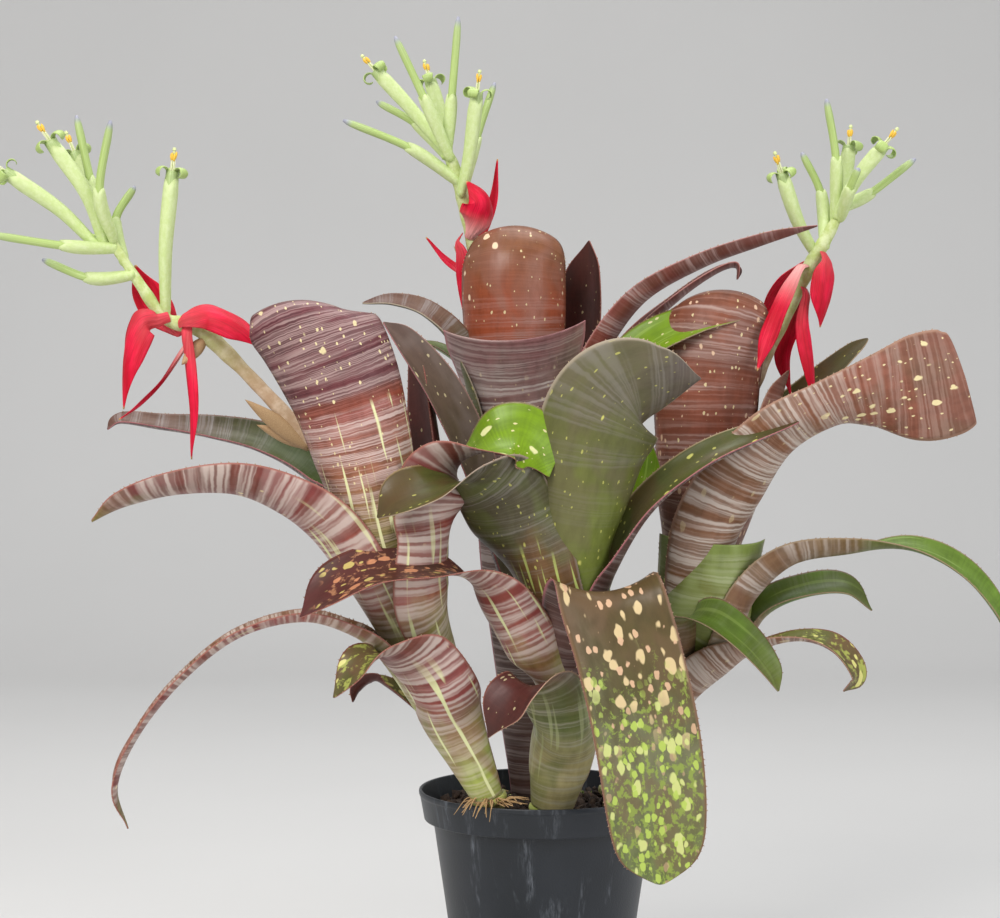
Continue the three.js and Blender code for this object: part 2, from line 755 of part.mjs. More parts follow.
leaf('front_spotted_leaf', 'brown', {
  rosette: front, layer: 2, azimuth: -150, rise: 60, wrap: 130, tip: 0.15,
}, [
  [-7, -76, 197, 46, 150, 0.4, 0.8, 0.2],
  [-20, -84, 224, 42, 120, 0.3, 0.75, 0.5],
  [-34, -93, 244, 35, 80, 0.1, 0.3, 1],
  [-61, -102, 254, 37, 55, 0, -0.4, 0.95],
  [-91, -108, 253, 38, 55, -0.1, -0.5, 0.85],
  [-115, -110, 242, 33, 55, -0.3, -0.55, 0.7],
  [-129, -108, 229, 8, 40, -0.6, -0.5, 0.4],
]);
leaf('front_right_leaf', 'olive', {
  rosette: front, layer: 3, azimuth: 0, rise: 80, wrap: 105, tip: 0.1, facets: 3,
}, [
  [33, -60, 228, 44, 140],
  [41, -62, 255, 38, 120, -0.7, -0.2, 0.5],
  [58, -64, 284, 34, 100, -0.6, -0.35, 0.7],
  [84, -64, 306, 31, 95, -0.4, -0.4, 0.8],
  [112, -62, 320, 25, 90, -0.3, -0.4, 0.85],
  [138, -60, 330, 6, 50, -0.2, -0.4, 0.85],
]);
leaf('front_left_leaf', 'olive', {
  rosette: front, layer: 4, azimuth: -130, rise: 86, wrap: 140, tip: 0.18,
}, [
  [-7, -80, 241, 58, 160],
  [-17, -90, 272, 60, 130, 0.1, 0.95, 0.2],
  [-24, -98, 291, 54, 95, -0.1, 0.8, 0.5],
  [-40, -110, 300, 44, 65, -0.3, 0.1, 0.95],
  [-60, -117, 297, 38, 55, -0.2, -0.5, 0.85],
  [-78, -119, 291, 33, 55, -0.4, -0.6, 0.6],
  [-88, -117, 282, 10, 40, -0.7, -0.5, 0.3],
]);
leaf('front_tall_leaf', 'olive', {
  rosette: front, layer: 5, azimuth: -75, rise: 92, wrap: 165, tip: 0.1,
}, [
  [20, -80, 251, 54, 160],
  [25, -88, 287, 70, 140],
  [31, -94, 319, 78, 115],
  [42, -94, 342, 72, 85, -0.2, 0.9, 0.4],
  [63, -88, 351, 46, 60, -0.3, 0.8, 0.6],
  [83, -84, 354, 6, 40, -0.3, 0.8, 0.6],
]);
leaf('front_rear_leaf', 'brown', {
  rosette: front, layer: 6, azimuth: 150, rise: 86, wrap: 105, tip: 0.1, facets: 3,
}, [
  [-13, -34, 222, 32, 120],
  [-27, -30, 261, 34, 100, 0.8, -0.5, 0.2],
  [-40, -30, 305, 36, 80, 0.75, -0.55, 0.3],
  [-57, -34, 344, 33, 65, 0.6, -0.6, 0.45],
  [-76, -38, 372, 22, 60, 0.5, -0.6, 0.5],
  [-88, -40, 384, 6, 40, 0.4, -0.6, 0.6],
]);
leaf('front_small_leaf', 'green', {
  rosette: front, layer: 7, azimuth: 50, rise: 88, wrap: 90, tip: 0.15, facets: 3,
}, [
  [27, -34, 225, 30, 110],
  [42, -28, 261, 28, 95, -0.5, -0.5, 0.6],
  [54, -24, 294, 28, 70, -0.2, -0.8, 0.4],
  [58, -22, 324, 6, 50, -0.1, -0.8, 0.4],
]);

// Rear rosette
leaf('rear_collar_leaf', 'banded', {
  rosette: rear, layer: 0, azimuth: -90, rise: 150, wrap: 120, tip: 0,
}, [
  [-9, -2, 307, 74, 165],
  [-10, -5, 329, 76, 150],
  [-13, -9, 347, 84, 130],
  [-15, -16, 363, 90, 110],
  [-16, -22, 374, 90, 95],
]);
leaf('rear_green_leaf', 'green', {
  rosette: rear, layer: 1, azimuth: -35, rise: 140, wrap: 110, tip: 0.15,
}, [
  [27, 8, 317, 38, 130],
  [39, 0, 347, 36, 90, -0.5, -0.5, 0.7],
  [60, -6, 371, 34, 70, -0.3, -0.6, 0.75],
  [88, -10, 384, 28, 60, -0.1, -0.6, 0.8],
  [115, -12, 388, 9, 50, 0, -0.6, 0.8],
]);
leaf('rear_ribbon_leaf', 'banded', {
  rosette: rear, layer: 2, azimuth: -10, rise: 150, wrap: 105, tip: 0.1, facets: 3,
}, [
  [26, 24, 340, 34, 130],
  [36, 18, 368, 29, 120, -0.6, 0.4, 0.6],
  [57, 10, 397, 23, 110, -0.5, 0.5, 0.7],
  [89, 0, 416, 18, 100, -0.3, 0.5, 0.8],
  [121, -10, 428, 14, 90, -0.2, 0.5, 0.85],
  [153, -13, 438, 5, 60, -0.2, 0.5, 0.85],
]);
leaf('rear_curled_leaf', 'brown', {
  rosette: rear, layer: 3, azimuth: 10, rise: 150, wrap: 105, tip: 0.1, facets: 3,
}, [
  [36, 34, 340, 32, 120],
  [52, 36, 371, 27, 110, -0.6, -0.1, 0.7],
  [79, 38, 397, 22, 100, -0.4, 0, 0.9],
  [100, 40, 412, 18, 90, 0, 0, 1],
  [112, 40, 416, 15, 80, 0.6, 0, 0.8],
  [113, 38, 409, 7, 60, 1, 0, 0],
]);
leaf('rear_left_leaf', 'green', {
  rosette: rear, layer: 4, azimuth: 170, rise: 150, wrap: 105, tip: 0.1, facets: 3,
}, [
  [-39, 16, 329, 34, 120],
  [-48, 12, 368, 29, 100, 0.5, -0.4, 0.7],
  [-65, 10, 388, 24, 90, 0.2, -0.4, 0.9],
  [-84, 10, 395, 17, 80, 0, -0.4, 0.9],
  [-102, 10, 395, 6, 60, 0, -0.4, 0.9],
]);
leaf('rear_dark_leaf', 'brown', {
  rosette: rear, layer: 5, azimuth: 45, rise: 160, wrap: 105, tip: 0.15, facets: 3,
}, [
  [24, 52, 339, 44, 120],
  [27, 54, 380, 41, 105],
  [28, 54, 412, 32, 90],
  [28, 54, 432, 7, 50],
]);
leaf('rear_tube_leaf', 'mauve', {
  rosette: rear, layer: 6, azimuth: -90, rise: 160, wrap: 165, tip: 0.08,
}, [
  [-13, 7, 318, 76, 165],
  [-15, 5, 357, 78, 155],
  [-16, 5, 397, 78, 145],
  [-16, 8, 422, 74, 130],
  [-15, 18, 436, 58, 90],
  [-15, 30, 439, 40, 60],
  [-15, 42, 432, 16, 40],
]);
leaf('rear_short_leaf', 'green', {
  rosette: rear, layer: 7, azimuth: 150, rise: 150, wrap: 105, tip: 0.15, facets: 3,
}, [
  [-35, 56, 327, 28, 110],
  [-44, 58, 355, 25, 90],
  [-59, 60, 368, 18, 70],
  [-74, 60, 374, 5, 40],
]);

// Right rosette
leaf('right_curled_leaf', 'banded', {
  rosette: right, layer: 0, azimuth: -35, rise: 44, wrap: 130, tip: 0.1, facets: 3,
}, [
  [82, -24, 172, 52, 150],
  [100, -28, 190, 44, 120, -0.5, 0.5, 0.6],
  [119, -30, 202, 28, 100, -0.2, 0.2, 0.95],
  [142, -31, 208, 23, 80, 0.1, -0.1, 1],
  [162, -31, 203, 25, 60, 0.5, -0.4, 0.75],
  [174, -30, 188, 20, 50, 0.8, -0.5, 0.1],
  [167, -29, 179, 5, 40, 0.5, -0.5, -0.7],
]);
leaf('right_drooping_leaf', 'green', {
  rosette: right, layer: 1, azimuth: -75, rise: 56, wrap: 105, tip: 0.12, facets: 3,
}, [
  [73, -36, 200, 38, 120],
  [77, -48, 220, 33, 90, -0.1, -0.1, 1],
  [90, -58, 223, 31, 75, 0.2, -0.5, 0.85],
  [109, -64, 210, 27, 65, 0.5, -0.6, 0.6],
  [122, -66, 195, 19, 60, 0.7, -0.6, 0.3],
  [127, -66, 184, 6, 40, 0.8, -0.6, 0],
]);
leaf('right_green_leaf', 'green', {
  rosette: right, layer: 2, azimuth: 10, rise: 56, wrap: 105, tip: 0.15, facets: 3,
}, [
  [110, 6, 192, 38, 130],
  [126, 4, 219, 33, 110, -0.5, -0.3, 0.8],
  [149, 2, 231, 30, 90, -0.1, -0.35, 0.9],
  [172, 2, 233, 26, 70, 0.3, -0.4, 0.85],
  [187, 2, 221, 6, 50, 0.7, -0.4, 0.5],
]);
leaf('right_long_leaf', 'green', {
  rosette: right, layer: 3, azimuth: -12, rise: 66, wrap: 105, tip: 0.1, facets: 3,
}, [
  [106, -22, 204, 44, 140],
  [117, -28, 231, 38, 120, -0.6, 0.4, 0.6],
  [138, -32, 251, 32, 105, -0.2, 0.4, 0.85],
  [170, -34, 257, 25, 95, 0, 0.35, 0.95],
  [204, -34, 259, 23, 80, 0.1, -0.3, 0.95],
  [232, -34, 246, 28, 65, 0.5, -0.4, 0.75],
  [251, -33, 224, 24, 55, 0.7, -0.4, 0.55],
  [261, -32, 202, 6, 40, 0.8, -0.4, 0.3],
]);
leaf('right_sheath_leaf', 'green', {
  rosette: right, layer: 4, azimuth: -85, rise: 74, wrap: 145, tip: 0,
}, [
  [90, -34, 208, 78, 180],
  [93, -38, 231, 80, 170],
  [95, -41, 249, 80, 155],
  [96, -43, 262, 76, 135],
]);
leaf('right_banded_leaf', 'banded', {
  rosette: right, layer: 5, azimuth: -40, rise: 92, wrap: 140, tip: 0.03,
}, [
  [99, -34, 253, 70, 170],
  [108, -44, 284, 64, 145, -0.5, 0.8, 0.3],
  [129, -52, 316, 52, 120, -0.5, 0.75, 0.5],
  [155, -58, 334, 42, 95, -0.3, 0.75, 0.6],
  [177, -60, 342, 48, 60, -0.2, 0.85, 0.5],
  [201, -60, 347, 60, 34, -0.1, 1, 0.2],
  [219, -60, 351, 60, 26, -0.1, 1, 0.1],
  [228, -60, 354, 52, 24, -0.1, 1, 0.1],
]);
leaf('right_small_leaf', 'brown', {
  rosette: right, layer: 6, azimuth: -20, rise: 110, wrap: 105, tip: 0.15, facets: 3,
}, [
  [128, 4, 301, 30, 100],
  [131, 2, 326, 28, 90, -0.8, 0.5, 0.3],
  [134, 2, 343, 20, 80, -0.7, 0.5, 0.4],
  [139, 2, 357, 6, 60, -0.6, 0.5, 0.5],
]);
leaf('right_back_leaf', 'green', {
  rosette: right, layer: 7, azimuth: 30, rise: 110, wrap: 105, tip: 0.1, facets: 3,
}, [
  [118, 22, 282, 42, 120],
  [135, 24, 320, 36, 100, -0.6, -0.5, 0.6],
  [157, 26, 345, 28, 80, -0.5, -0.5, 0.7],
  [176, 26, 365, 16, 60, -0.3, -0.5, 0.8],
  [187, 26, 375, 6, 40, 0, -0.5, 0.8],
]);
leaf('right_tube_leaf', 'mauve', {
  rosette: right, layer: 8, azimuth: -95, rise: 110, wrap: 165, tip: 0.08,
}, [
  [90, -18, 274, 78, 170],
  [90, -20, 313, 80, 160],
  [91, -20, 352, 80, 150],
  [95, -18, 383, 76, 135],
  [98, -12, 398, 62, 95],
  [100, -2, 402, 44, 60],
  [101, 10, 396, 16, 40],
]);

// Flower spikes
spike('left', left, {
  rows: [
    [-104, -66, 283, 4.5],
    [-120, -61, 312, 5],
    [-146, -58, 340, 5],
    [-171, -58, 366, 5],
    [-188, -60, 381, 4.5],
    [-205, -60, 386, 3.5],
    [-219, -60, 405, 3],
    [-234, -60, 428, 2.5],
  ],
  flowers: [
    { path: [[-205, -60, 390], [-204, -66, 425], [-200, -66, 465]], open: true },
    { path: [[-238, -60, 427], [-246, -68, 453], [-265, -70, 481]], open: true },
    { path: [[-238, -56, 430], [-246, -53, 460], [-254, -50, 496]], open: false },
    { path: [[-233, -63, 430], [-238, -75, 453], [-231, -80, 491]], open: false },
    { path: [[-228, -57, 418], [-233, -51, 439], [-223, -46, 458]], open: false },
    { path: [[-242, -60, 426], [-262, -59, 445], [-291, -62, 465]], open: true },
    { path: [[-233, -61, 424], [-258, -67, 425], [-298, -72, 431]], open: false },
    { path: [[-225, -62, 409], [-247, -55, 408], [-273, -50, 418]], open: false },
    { path: [[-238, -55, 432], [-246, -42, 452], [-257, -38, 477]], open: true },
  ],
  bracts: [
    [
      [-193, -68, 386, 7, 70],
      [-179, -73, 389, 16, 100],
      [-163, -76, 382, 15, 110],
      [-148, -77, 369, 3, 60],
    ],
    [
      [-192, -66, 378, 5, 100],
      [-191, -70, 361, 9, 150],
      [-189, -72, 337, 8, 150],
      [-189, -70, 312, 3, 60],
    ],
    [
      [-194, -58, 372, 5, 90],
      [-206, -56, 355, 7, 90],
      [-218, -54, 343, 6, 80],
      [-230, -52, 335, 3, 60],
    ],
    [
      [-207, -67, 386, 6, 60],
      [-216, -70, 383, 14, 90],
      [-224, -71, 363, 15, 100],
      [-226, -69, 338, 3, 60],
    ],
    [
      [-205, -52, 382, 6, 60],
      [-214, -48, 392, 15, 80],
      [-222, -46, 405, 14, 90],
      [-227, -48, 418, 3, 60],
    ],
  ],
});
spike('rear', rear, {
  rows: [
    [-24, 34, 328, 3.5],
    [-31, 40, 380, 4],
    [-37, 44, 415, 4],
    [-43, 44, 446, 4],
    [-48, 42, 466, 4],
    [-55, 40, 485, 2.5],
  ],
  flowers: [
    { path: [[-55, 40, 482], [-52, 40, 512], [-48, 40, 560]], open: false },
    { path: [[-46, 38, 460], [-41, 34, 483], [-37, 30, 516]], open: true },
    { path: [[-45, 46, 463], [-38, 54, 490], [-27, 58, 524]], open: false },
    { path: [[-55, 42, 483], [-75, 46, 507], [-96, 50, 530]], open: true },
    { path: [[-54, 36, 481], [-67, 28, 511], [-84, 24, 547]], open: false },
    { path: [[-54, 44, 480], [-72, 52, 499], [-96, 58, 513]], open: false },
    { path: [[-49, 40, 466], [-75, 36, 484], [-114, 32, 500]], open: false },
    { path: [[-54, 46, 482], [-58, 56, 502], [-65, 62, 526]], open: true },
  ],
  bracts: [
    [
      [-41, 38, 436, 7, 90],
      [-37, 32, 444, 19, 110],
      [-35, 30, 454, 17, 110],
      [-44, 34, 465, 3, 60],
    ],
    [
      [-39, 50, 432, 5, 90],
      [-31, 54, 443, 7, 90],
      [-27, 54, 458, 7, 90],
      [-26, 52, 479, 3, 60],
    ],
    [
      [-48, 40, 430, 5, 90],
      [-46, 35, 422, 9, 110],
      [-45, 34, 403, 9, 110],
      [-42, 34, 382, 3, 60],
    ],
    [
      [-39, 50, 417, 5, 80],
      [-47, 52, 414, 6, 70],
      [-57, 53, 421, 6, 60],
      [-67, 53, 433, 3, 50],
    ],
  ],
});
spike('right', right, {
  rows: [
    [115, 14, 329, 4],
    [125, 14, 357, 4],
    [136, 12, 383, 4],
    [149, 10, 411, 4],
    [158, 10, 427, 4],
    [168, 10, 445, 2.5],
  ],
  flowers: [
    { path: [[155, 14, 423], [144, 4, 441], [134, -2, 468]], open: true },
    { path: [[160, 10, 430], [159, 20, 457], [148, 22, 481]], open: false },
    { path: [[166, 11, 442], [166, 8, 475], [160, 6, 510]], open: false },
    { path: [[167, 8, 445], [177, 1, 465], [191, -4, 483]], open: true },
    { path: [[171, 15, 447], [174, 26, 467], [176, 30, 485]], open: true },
    { path: [[168, 14, 448], [186, 15, 457], [212, 16, 477]], open: false },
    { path: [[169, 7, 444], [172, -6, 459], [176, -12, 470]], open: false },
  ],
  bracts: [
    [
      [159, 3, 419, 7, 90],
      [159, -1, 411, 16, 110],
      [157, -2, 397, 16, 110],
      [154, 0, 382, 3, 60],
    ],
    [
      [148, 4, 399, 5, 90],
      [146, -4, 383, 9, 130],
      [149, -8, 360, 9, 130],
      [151, -8, 338, 3, 60],
    ],
    [
      [149, 18, 415, 7, 90],
      [141, 22, 407, 15, 100],
      [132, 24, 397, 12, 100],
      [126, 24, 387, 3, 60],
    ],
    [
      [145, 0, 414, 5, 90],
      [134, -12, 394, 8, 90],
      [126, -19, 375, 8, 90],
      [120, -24, 357, 3, 60],
    ],
    [
      [147, 18, 397, 6, 90],
      [142, 22, 380, 12, 110],
      [139, 22, 362, 11, 110],
      [142, 20, 342, 3, 60],
    ],
  ],
});

addLeaves();

// Pot, soil and stems
add('pot', pot(), 'plastic', 0.6);
add('soil', soil(), 'soil', 0.95);
add('left_stem', rootedStem(), 'stem');
add('front_stem', stemBody(front), 'stem');
add('rear_stem', stemBody(rear), 'stem');
add('right_stem', stemBody(right), 'stem');

export default part;
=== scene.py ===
"""Looks of a potted tarantello billbergia: leaves, flower spikes, bracts, stems, potting mix and pot.

Sizes are in millimetres here, as in the solids, and each mesh is written in metres. The plant is
seen from -Y, with +X to the right.
"""
import math

import bpy
import mathutils
import numpy as np
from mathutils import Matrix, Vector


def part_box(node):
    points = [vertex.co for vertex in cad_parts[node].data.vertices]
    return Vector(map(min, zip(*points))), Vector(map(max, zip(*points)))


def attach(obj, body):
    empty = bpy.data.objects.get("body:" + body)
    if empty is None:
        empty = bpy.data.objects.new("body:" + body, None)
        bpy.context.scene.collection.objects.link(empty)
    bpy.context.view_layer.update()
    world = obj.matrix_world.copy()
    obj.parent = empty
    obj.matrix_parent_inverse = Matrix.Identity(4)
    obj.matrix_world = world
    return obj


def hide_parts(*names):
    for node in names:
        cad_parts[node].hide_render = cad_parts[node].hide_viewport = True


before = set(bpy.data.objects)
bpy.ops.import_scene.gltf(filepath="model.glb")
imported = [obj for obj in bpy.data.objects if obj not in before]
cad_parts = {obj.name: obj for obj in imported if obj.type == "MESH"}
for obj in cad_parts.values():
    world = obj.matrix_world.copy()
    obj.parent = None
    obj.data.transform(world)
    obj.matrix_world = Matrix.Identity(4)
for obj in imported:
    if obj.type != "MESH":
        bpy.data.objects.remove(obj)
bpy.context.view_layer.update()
MM = 0.001
ROUND = 2 * math.pi

# Driving dimensions, as in the solids
POT_HEIGHT = 120.0
POT_RIM_RADIUS = 70.0
POT_BASE_RADIUS = 47.0
POT_BAND_HEIGHT = 17.0
POT_BAND_TAPER = 3.0
POT_STEP = 5.0
POT_WALL = 1.6
DRAIN_RADIUS = 4.0
DRAIN_CIRCLE = 32.0
SOIL_TOP = 108.0
PITCH = 1.8
PITCH_GROWTH = 0.007
CORE_RADIUS = 3.4
LAYER_STEP = 0.6
START_STEP = 0.5
LEAF_THICKNESS = 0.9

# Only in the visual model
STATIONS_PER_ROW = 12
TIP_STATIONS = 16
LEAF_COLUMNS = 21
LEAF_RIPPLE = 0.5
TOOTH_SPACING = 3.4
RING_UV = 0.02

ROSETTES = {
    "left": {"foot": (-30, -50, 124), "lean": (-46, -13, 111), "radius": 9, "flare": 0.19, "layers": 8},
    "front": {"foot": (5, -38, 116), "lean": (20, -12, 118), "radius": 12, "flare": 0.2, "layers": 8},
    "rear": {"foot": (-6, 34, 110), "lean": (-3, 0, 200), "radius": 13, "flare": 0.13, "layers": 8},
    "right": {"foot": (44, 10, 116), "lean": (42, -10, 118), "radius": 11, "flare": 0.17, "layers": 9},
}


# Curves and directions
def unit(v):
    """Vectors divided by their lengths, along the last axis."""
    v = np.asarray(v, float)
    return v / np.linalg.norm(v, axis=-1, keepdims=True)


def curve(rows, at):
    """Catmull-Rom curve through rows of numbers, continued straight at both ends; `at` counts rows."""
    rows = np.asarray(rows, float)
    padded = np.vstack([2 * rows[:1] - rows[1:2], rows, 2 * rows[-1:] - rows[-2:-1]])
    low = np.clip(np.floor(at).astype(int), 0, len(rows) - 2)
    f = (at - low)[:, None]
    a, b, c, d = (padded[low + k] for k in range(4))
    cube = 3 * b - a - 3 * c + d
    square = 2 * a - 5 * b + 4 * c - d
    return b + 0.5 * f * (c - a + f * (square + f * cube))


def tangents(rows, at):
    """Unit directions of the curve, from points just before and just after."""
    ahead = curve(rows, np.minimum(at + 0.02, len(rows) - 1))[:, :3]
    behind = curve(rows, np.maximum(at - 0.02, 0))[:, :3]
    return unit(ahead - behind)


def square_to(v, along):
    """The part of v that is square to `along`, with length one."""
    return unit(v - np.sum(v * along, axis=-1, keepdims=True) * along)


def arc_lengths(points):
    """Distance along a line of points, from its start."""
    steps = np.linalg.norm(np.diff(points, axis=0), axis=1)
    return np.concatenate([[0], np.cumsum(steps)])


def carried_frames(along):
    """Two directions square to a line, carried along it without turning."""
    up = np.array([0, 0, 1.0]) if abs(along[0][2]) < 0.9 else np.array([1.0, 0, 0])
    u = [square_to(up, along[0])]
    for direction in along[1:]:
        u.append(square_to(u[-1], direction))
    u = np.array(u)
    return u, np.cross(along, u)


def level(angle):
    """Horizontal direction at an angle from +X."""
    return np.array([math.cos(angle), math.sin(angle), 0])


# Meshes
def grid_faces(rows, columns, wrap=False, turned=False):
    """Quads between neighbouring points of a grid, with the columns closed to a ring if wrapped."""
    i, j = np.meshgrid(np.arange(rows - 1), np.arange(columns if wrap else columns - 1), indexing="ij")
    k = (j + 1) % columns
    quads = np.stack([i * columns + j, i * columns + k, (i + 1) * columns + k, (i + 1) * columns + j], -1)
    quads = quads.reshape(-1, 4)
    return (quads[:, ::-1] if turned else quads).tolist()


class Shape:
    """Points, faces, UVs, tags and material numbers gathered for one piece."""

    def __init__(self):
        self.points, self.faces, self.uv, self.tags, self.numbers = [], [], [], [], []
        self.count = 0

    def add(self, points, faces, uv=None, tags=None, number=0):
        """Appends a part; tags hold edge, reach and one spare value."""
        points = np.asarray(points, float).reshape(-1, 3)
        size = len(points)
        self.points.append(points)
        self.faces += [[v + self.count for v in face] for face in faces]
        self.numbers += [number] * len(faces)
        self.uv.append(np.zeros((size, 2)) if uv is None else np.asarray(uv, float).reshape(-1, 2))
        full = np.ones((size, 4))
        full[:, :3] = 0 if tags is None else np.asarray(tags, float).reshape(-1, 3)
        self.tags.append(full)
        self.count += size

    def add_rings(self, points, ends, uv=None, tags=None, number=0):
        """Rings of points, each row of the grid being one ring, and a fan of faces to each end point."""
        rows, sides = points.shape[:2]
        faces = grid_faces(rows, sides, wrap=True)
        first, last = rows * sides, (rows - 1) * sides
        for j in range(sides):
            k = (j + 1) % sides
            faces += [[first, k, j], [first + 1, last + j, last + k]]
        if uv is not None:
            uv, tags = (np.vstack([grid.reshape(rows * sides, -1), grid[0, :1], grid[-1, :1]])
                        for grid in (uv, tags))
        self.add(np.vstack([points.reshape(-1, 3), ends]), faces, uv, tags, number)

    def add_plate(self, outer, inner, uv, tags, numbers=(0, 0)):
        """Closed plate: an outer grid, an inner grid and a rim between their margins."""
        rows, columns = outer.shape[:2]
        start, size = self.count, rows * columns
        self.add(outer, grid_faces(rows, columns), uv, tags, numbers[0])
        self.add(inner, grid_faces(rows, columns, turned=True), uv, tags, numbers[1])
        end = start + size
        margins = ((start, end, columns, 1), (start + columns - 1, end, columns, -1),
                   (start, start + columns, 1, -1), (end - columns, end, 1, 1))
        for first, stop, step, way in margins:
            for p in range(first, stop - step, step):
                face = [p, p + step, p + step + size, p + size]
                self.faces.append(face[::way])
                self.numbers.append(numbers[0])

    def make(self, name, materials):
        """The finished mesh in metres, with the UV map and the colour attribute its patterns need."""
        mesh = bpy.data.meshes.new(name)
        mesh.from_pydata((np.vstack(self.points) * MM).tolist(), [], self.faces)
        for material in materials:
            mesh.materials.append(material)
        mesh.polygons.foreach_set("material_index", self.numbers)
        mesh.polygons.foreach_set("use_smooth", [True] * len(mesh.polygons))
        corners = np.empty(len(mesh.loops), int)
        mesh.loops.foreach_get("vertex_index", corners)
        layer = mesh.uv_layers.new(name="skin")
        layer.data.foreach_set("uv", np.vstack(self.uv)[corners].ravel())
        attribute = mesh.attributes.new("tags", "FLOAT_COLOR", "POINT")
        attribute.data.foreach_set("color", np.vstack(self.tags).ravel())
        mesh.update()
        return linked(name, mesh)


def linked(name, data):
    """A new object with the data, in the scene."""
    thing = bpy.data.objects.new(name, data)
    bpy.context.collection.objects.link(thing)
    return thing


def tube(shape, centres, along, radii, sides=16, number=0, squash=None):
    """Closed tube: rings of `sides` points round the centres, and a point at each end.

    A ring's point is centre + radius (cos t u + sin t v), with u and v carried along the line; squash
    multiplies the radius of each point.
    """
    u, v = carried_frames(along)
    t = np.linspace(0, ROUND, sides, endpoint=False)
    rows = len(centres)
    wave = np.ones((rows, sides)) if squash is None else squash
    reach = (np.asarray(radii)[:, None] * wave)[..., None]
    ring = np.cos(t)[None, :, None] * u[:, None] + np.sin(t)[None, :, None] * v[:, None]
    distance = arc_lengths(centres)
    uv = np.stack(np.broadcast_arrays(distance[:, None] * MM, (t / ROUND)[None] * RING_UV), -1)
    part = distance / max(distance[-1], 1e-6)
    tags = np.stack(np.broadcast_arrays(np.zeros((rows, sides)), part[:, None], 0.0), -1)
    shape.add_rings(centres[:, None] + reach * ring, centres[[0, -1]], uv, tags, number)


def rod(shape, rows, stations, sides, number):
    """Tube along the curve through rows of place and radius."""
    rows = np.array(rows, float)
    at = np.linspace(0, len(rows) - 1, stations)
    line = curve(rows, at)
    tube(shape, line[:, :3], tangents(rows, at), line[:, 3], sides, number)


# Leaf blades, by the same rows as the solids: x, y, z, width, curl in degrees and the way it faces
def sheath_radius(rosette, layer, height):
    """Radius of a sheath layer: the rosette's cone, less one pitch for each layer outside it."""
    return rosette["radius"] + rosette["flare"] * height - layer * (PITCH + PITCH_GROWTH * height)


def sheath_start(rosette, layer):
    """Height at which the cone has room for the layer."""
    height = LAYER_STEP * layer
    while sheath_radius(rosette, layer, height) < CORE_RADIUS + PITCH:
        height += START_STEP
    return height


def sheath_row(rosette, layer, azimuth, wrap, height):
    """Row of a sheath: a point of the cone, wrapped round the axis and facing it."""
    axis = unit(rosette["lean"])
    outward = square_to(level(math.radians(azimuth)), axis)
    radius = sheath_radius(rosette, layer, height)
    place = np.array(rosette["foot"]) + axis * height + outward * radius
    return [*place, radius * math.radians(wrap), wrap, *(-outward)]


def full_rows(rosette, layer, azimuth, rise, wrap, free):
    """Three sheath rows, then the free rows, whose untold facings lean straight out."""
    start = sheath_start(rosette, layer)
    heights = (start, (start + rise) / 2, rise)
    rows = [sheath_row(rosette, layer, azimuth, wrap, height) for height in heights]
    sideways = level(math.radians(azimuth + 90))
    for k, row in enumerate(free):
        if len(row) > 5:
            rows.append(list(row))
            continue
        here = np.array(row[:3])
        ahead = np.array(free[k + 1][:3]) if k + 1 < len(free) else 2 * here - free[k - 1][:3]
        along = unit(ahead - here)
        rows.append([*row, *np.cross(along, square_to(sideways, along))])
    return np.array(rows, float)


def blade_frame(rows, at):
    """Middle line, facing, sideways direction, width and curl in radians at each station."""
    row = curve(rows, at)
    along = tangents(rows, at)
    face = square_to(row[:, 5:8], along)
    return row[:, :3], face, np.cross(face, along), row[:, 3], np.radians(row[:, 4])


def blade_grid(rows, at, narrowing, across, offset):
    """Grid of a curled blade: middle + face R - face r cos a + side r sin a, a from -curl/2 to curl/2.

    R is width / curl, r is R plus the offset, and the narrowing scales the width towards the tip.
    """
    middle, face, side, width, curl = blade_frame(rows, at)
    radius = np.maximum(width * narrowing / curl, 0.35)
    angle = across[None, :] * curl[:, None] / 2
    reach = radius[:, None] + offset
    swing = (reach * np.cos(angle))[..., None] * face[:, None]
    sweep = (reach * np.sin(angle))[..., None] * side[:, None]
    points = middle[:, None] + (radius[:, None] * face)[:, None] - swing + sweep
    return points, radius * curl / 2


def tip_narrowing(t, tip, power=2.0, end=0.0):
    """Width factor near the tip: the root of one minus a power of the way into the tip."""
    if tip <= 0:
        return np.ones_like(t)
    inside = np.clip((t - 1 + tip) / tip, 0, 1)
    return np.sqrt(np.maximum(1 - (1 - end) * inside ** power, 0.004))


def add_curled(shape, rows, at, narrowing, across, flesh, lift, distance, shift, numbers=(0, 0)):
    """Closed curled plate: `flesh` to each side of the blade's surface, which `lift` moves.

    Its UVs are metres along, moved on by `shift`, and across; its tags are edge and reach.
    """
    outer, half = blade_grid(rows, at, narrowing, across, flesh + lift)
    inner, _ = blade_grid(rows, at, narrowing, across, lift - flesh)
    wide = across[None, :] * half[:, None]
    uv = np.stack([np.broadcast_to(distance[:, None], wide.shape) * MM + shift, wide * MM], -1)
    tags = np.stack(np.broadcast_arrays(np.abs(across)[None], (distance / distance[-1])[:, None], 0.0), -1)
    shape.add_plate(outer, inner, uv, tags, numbers)


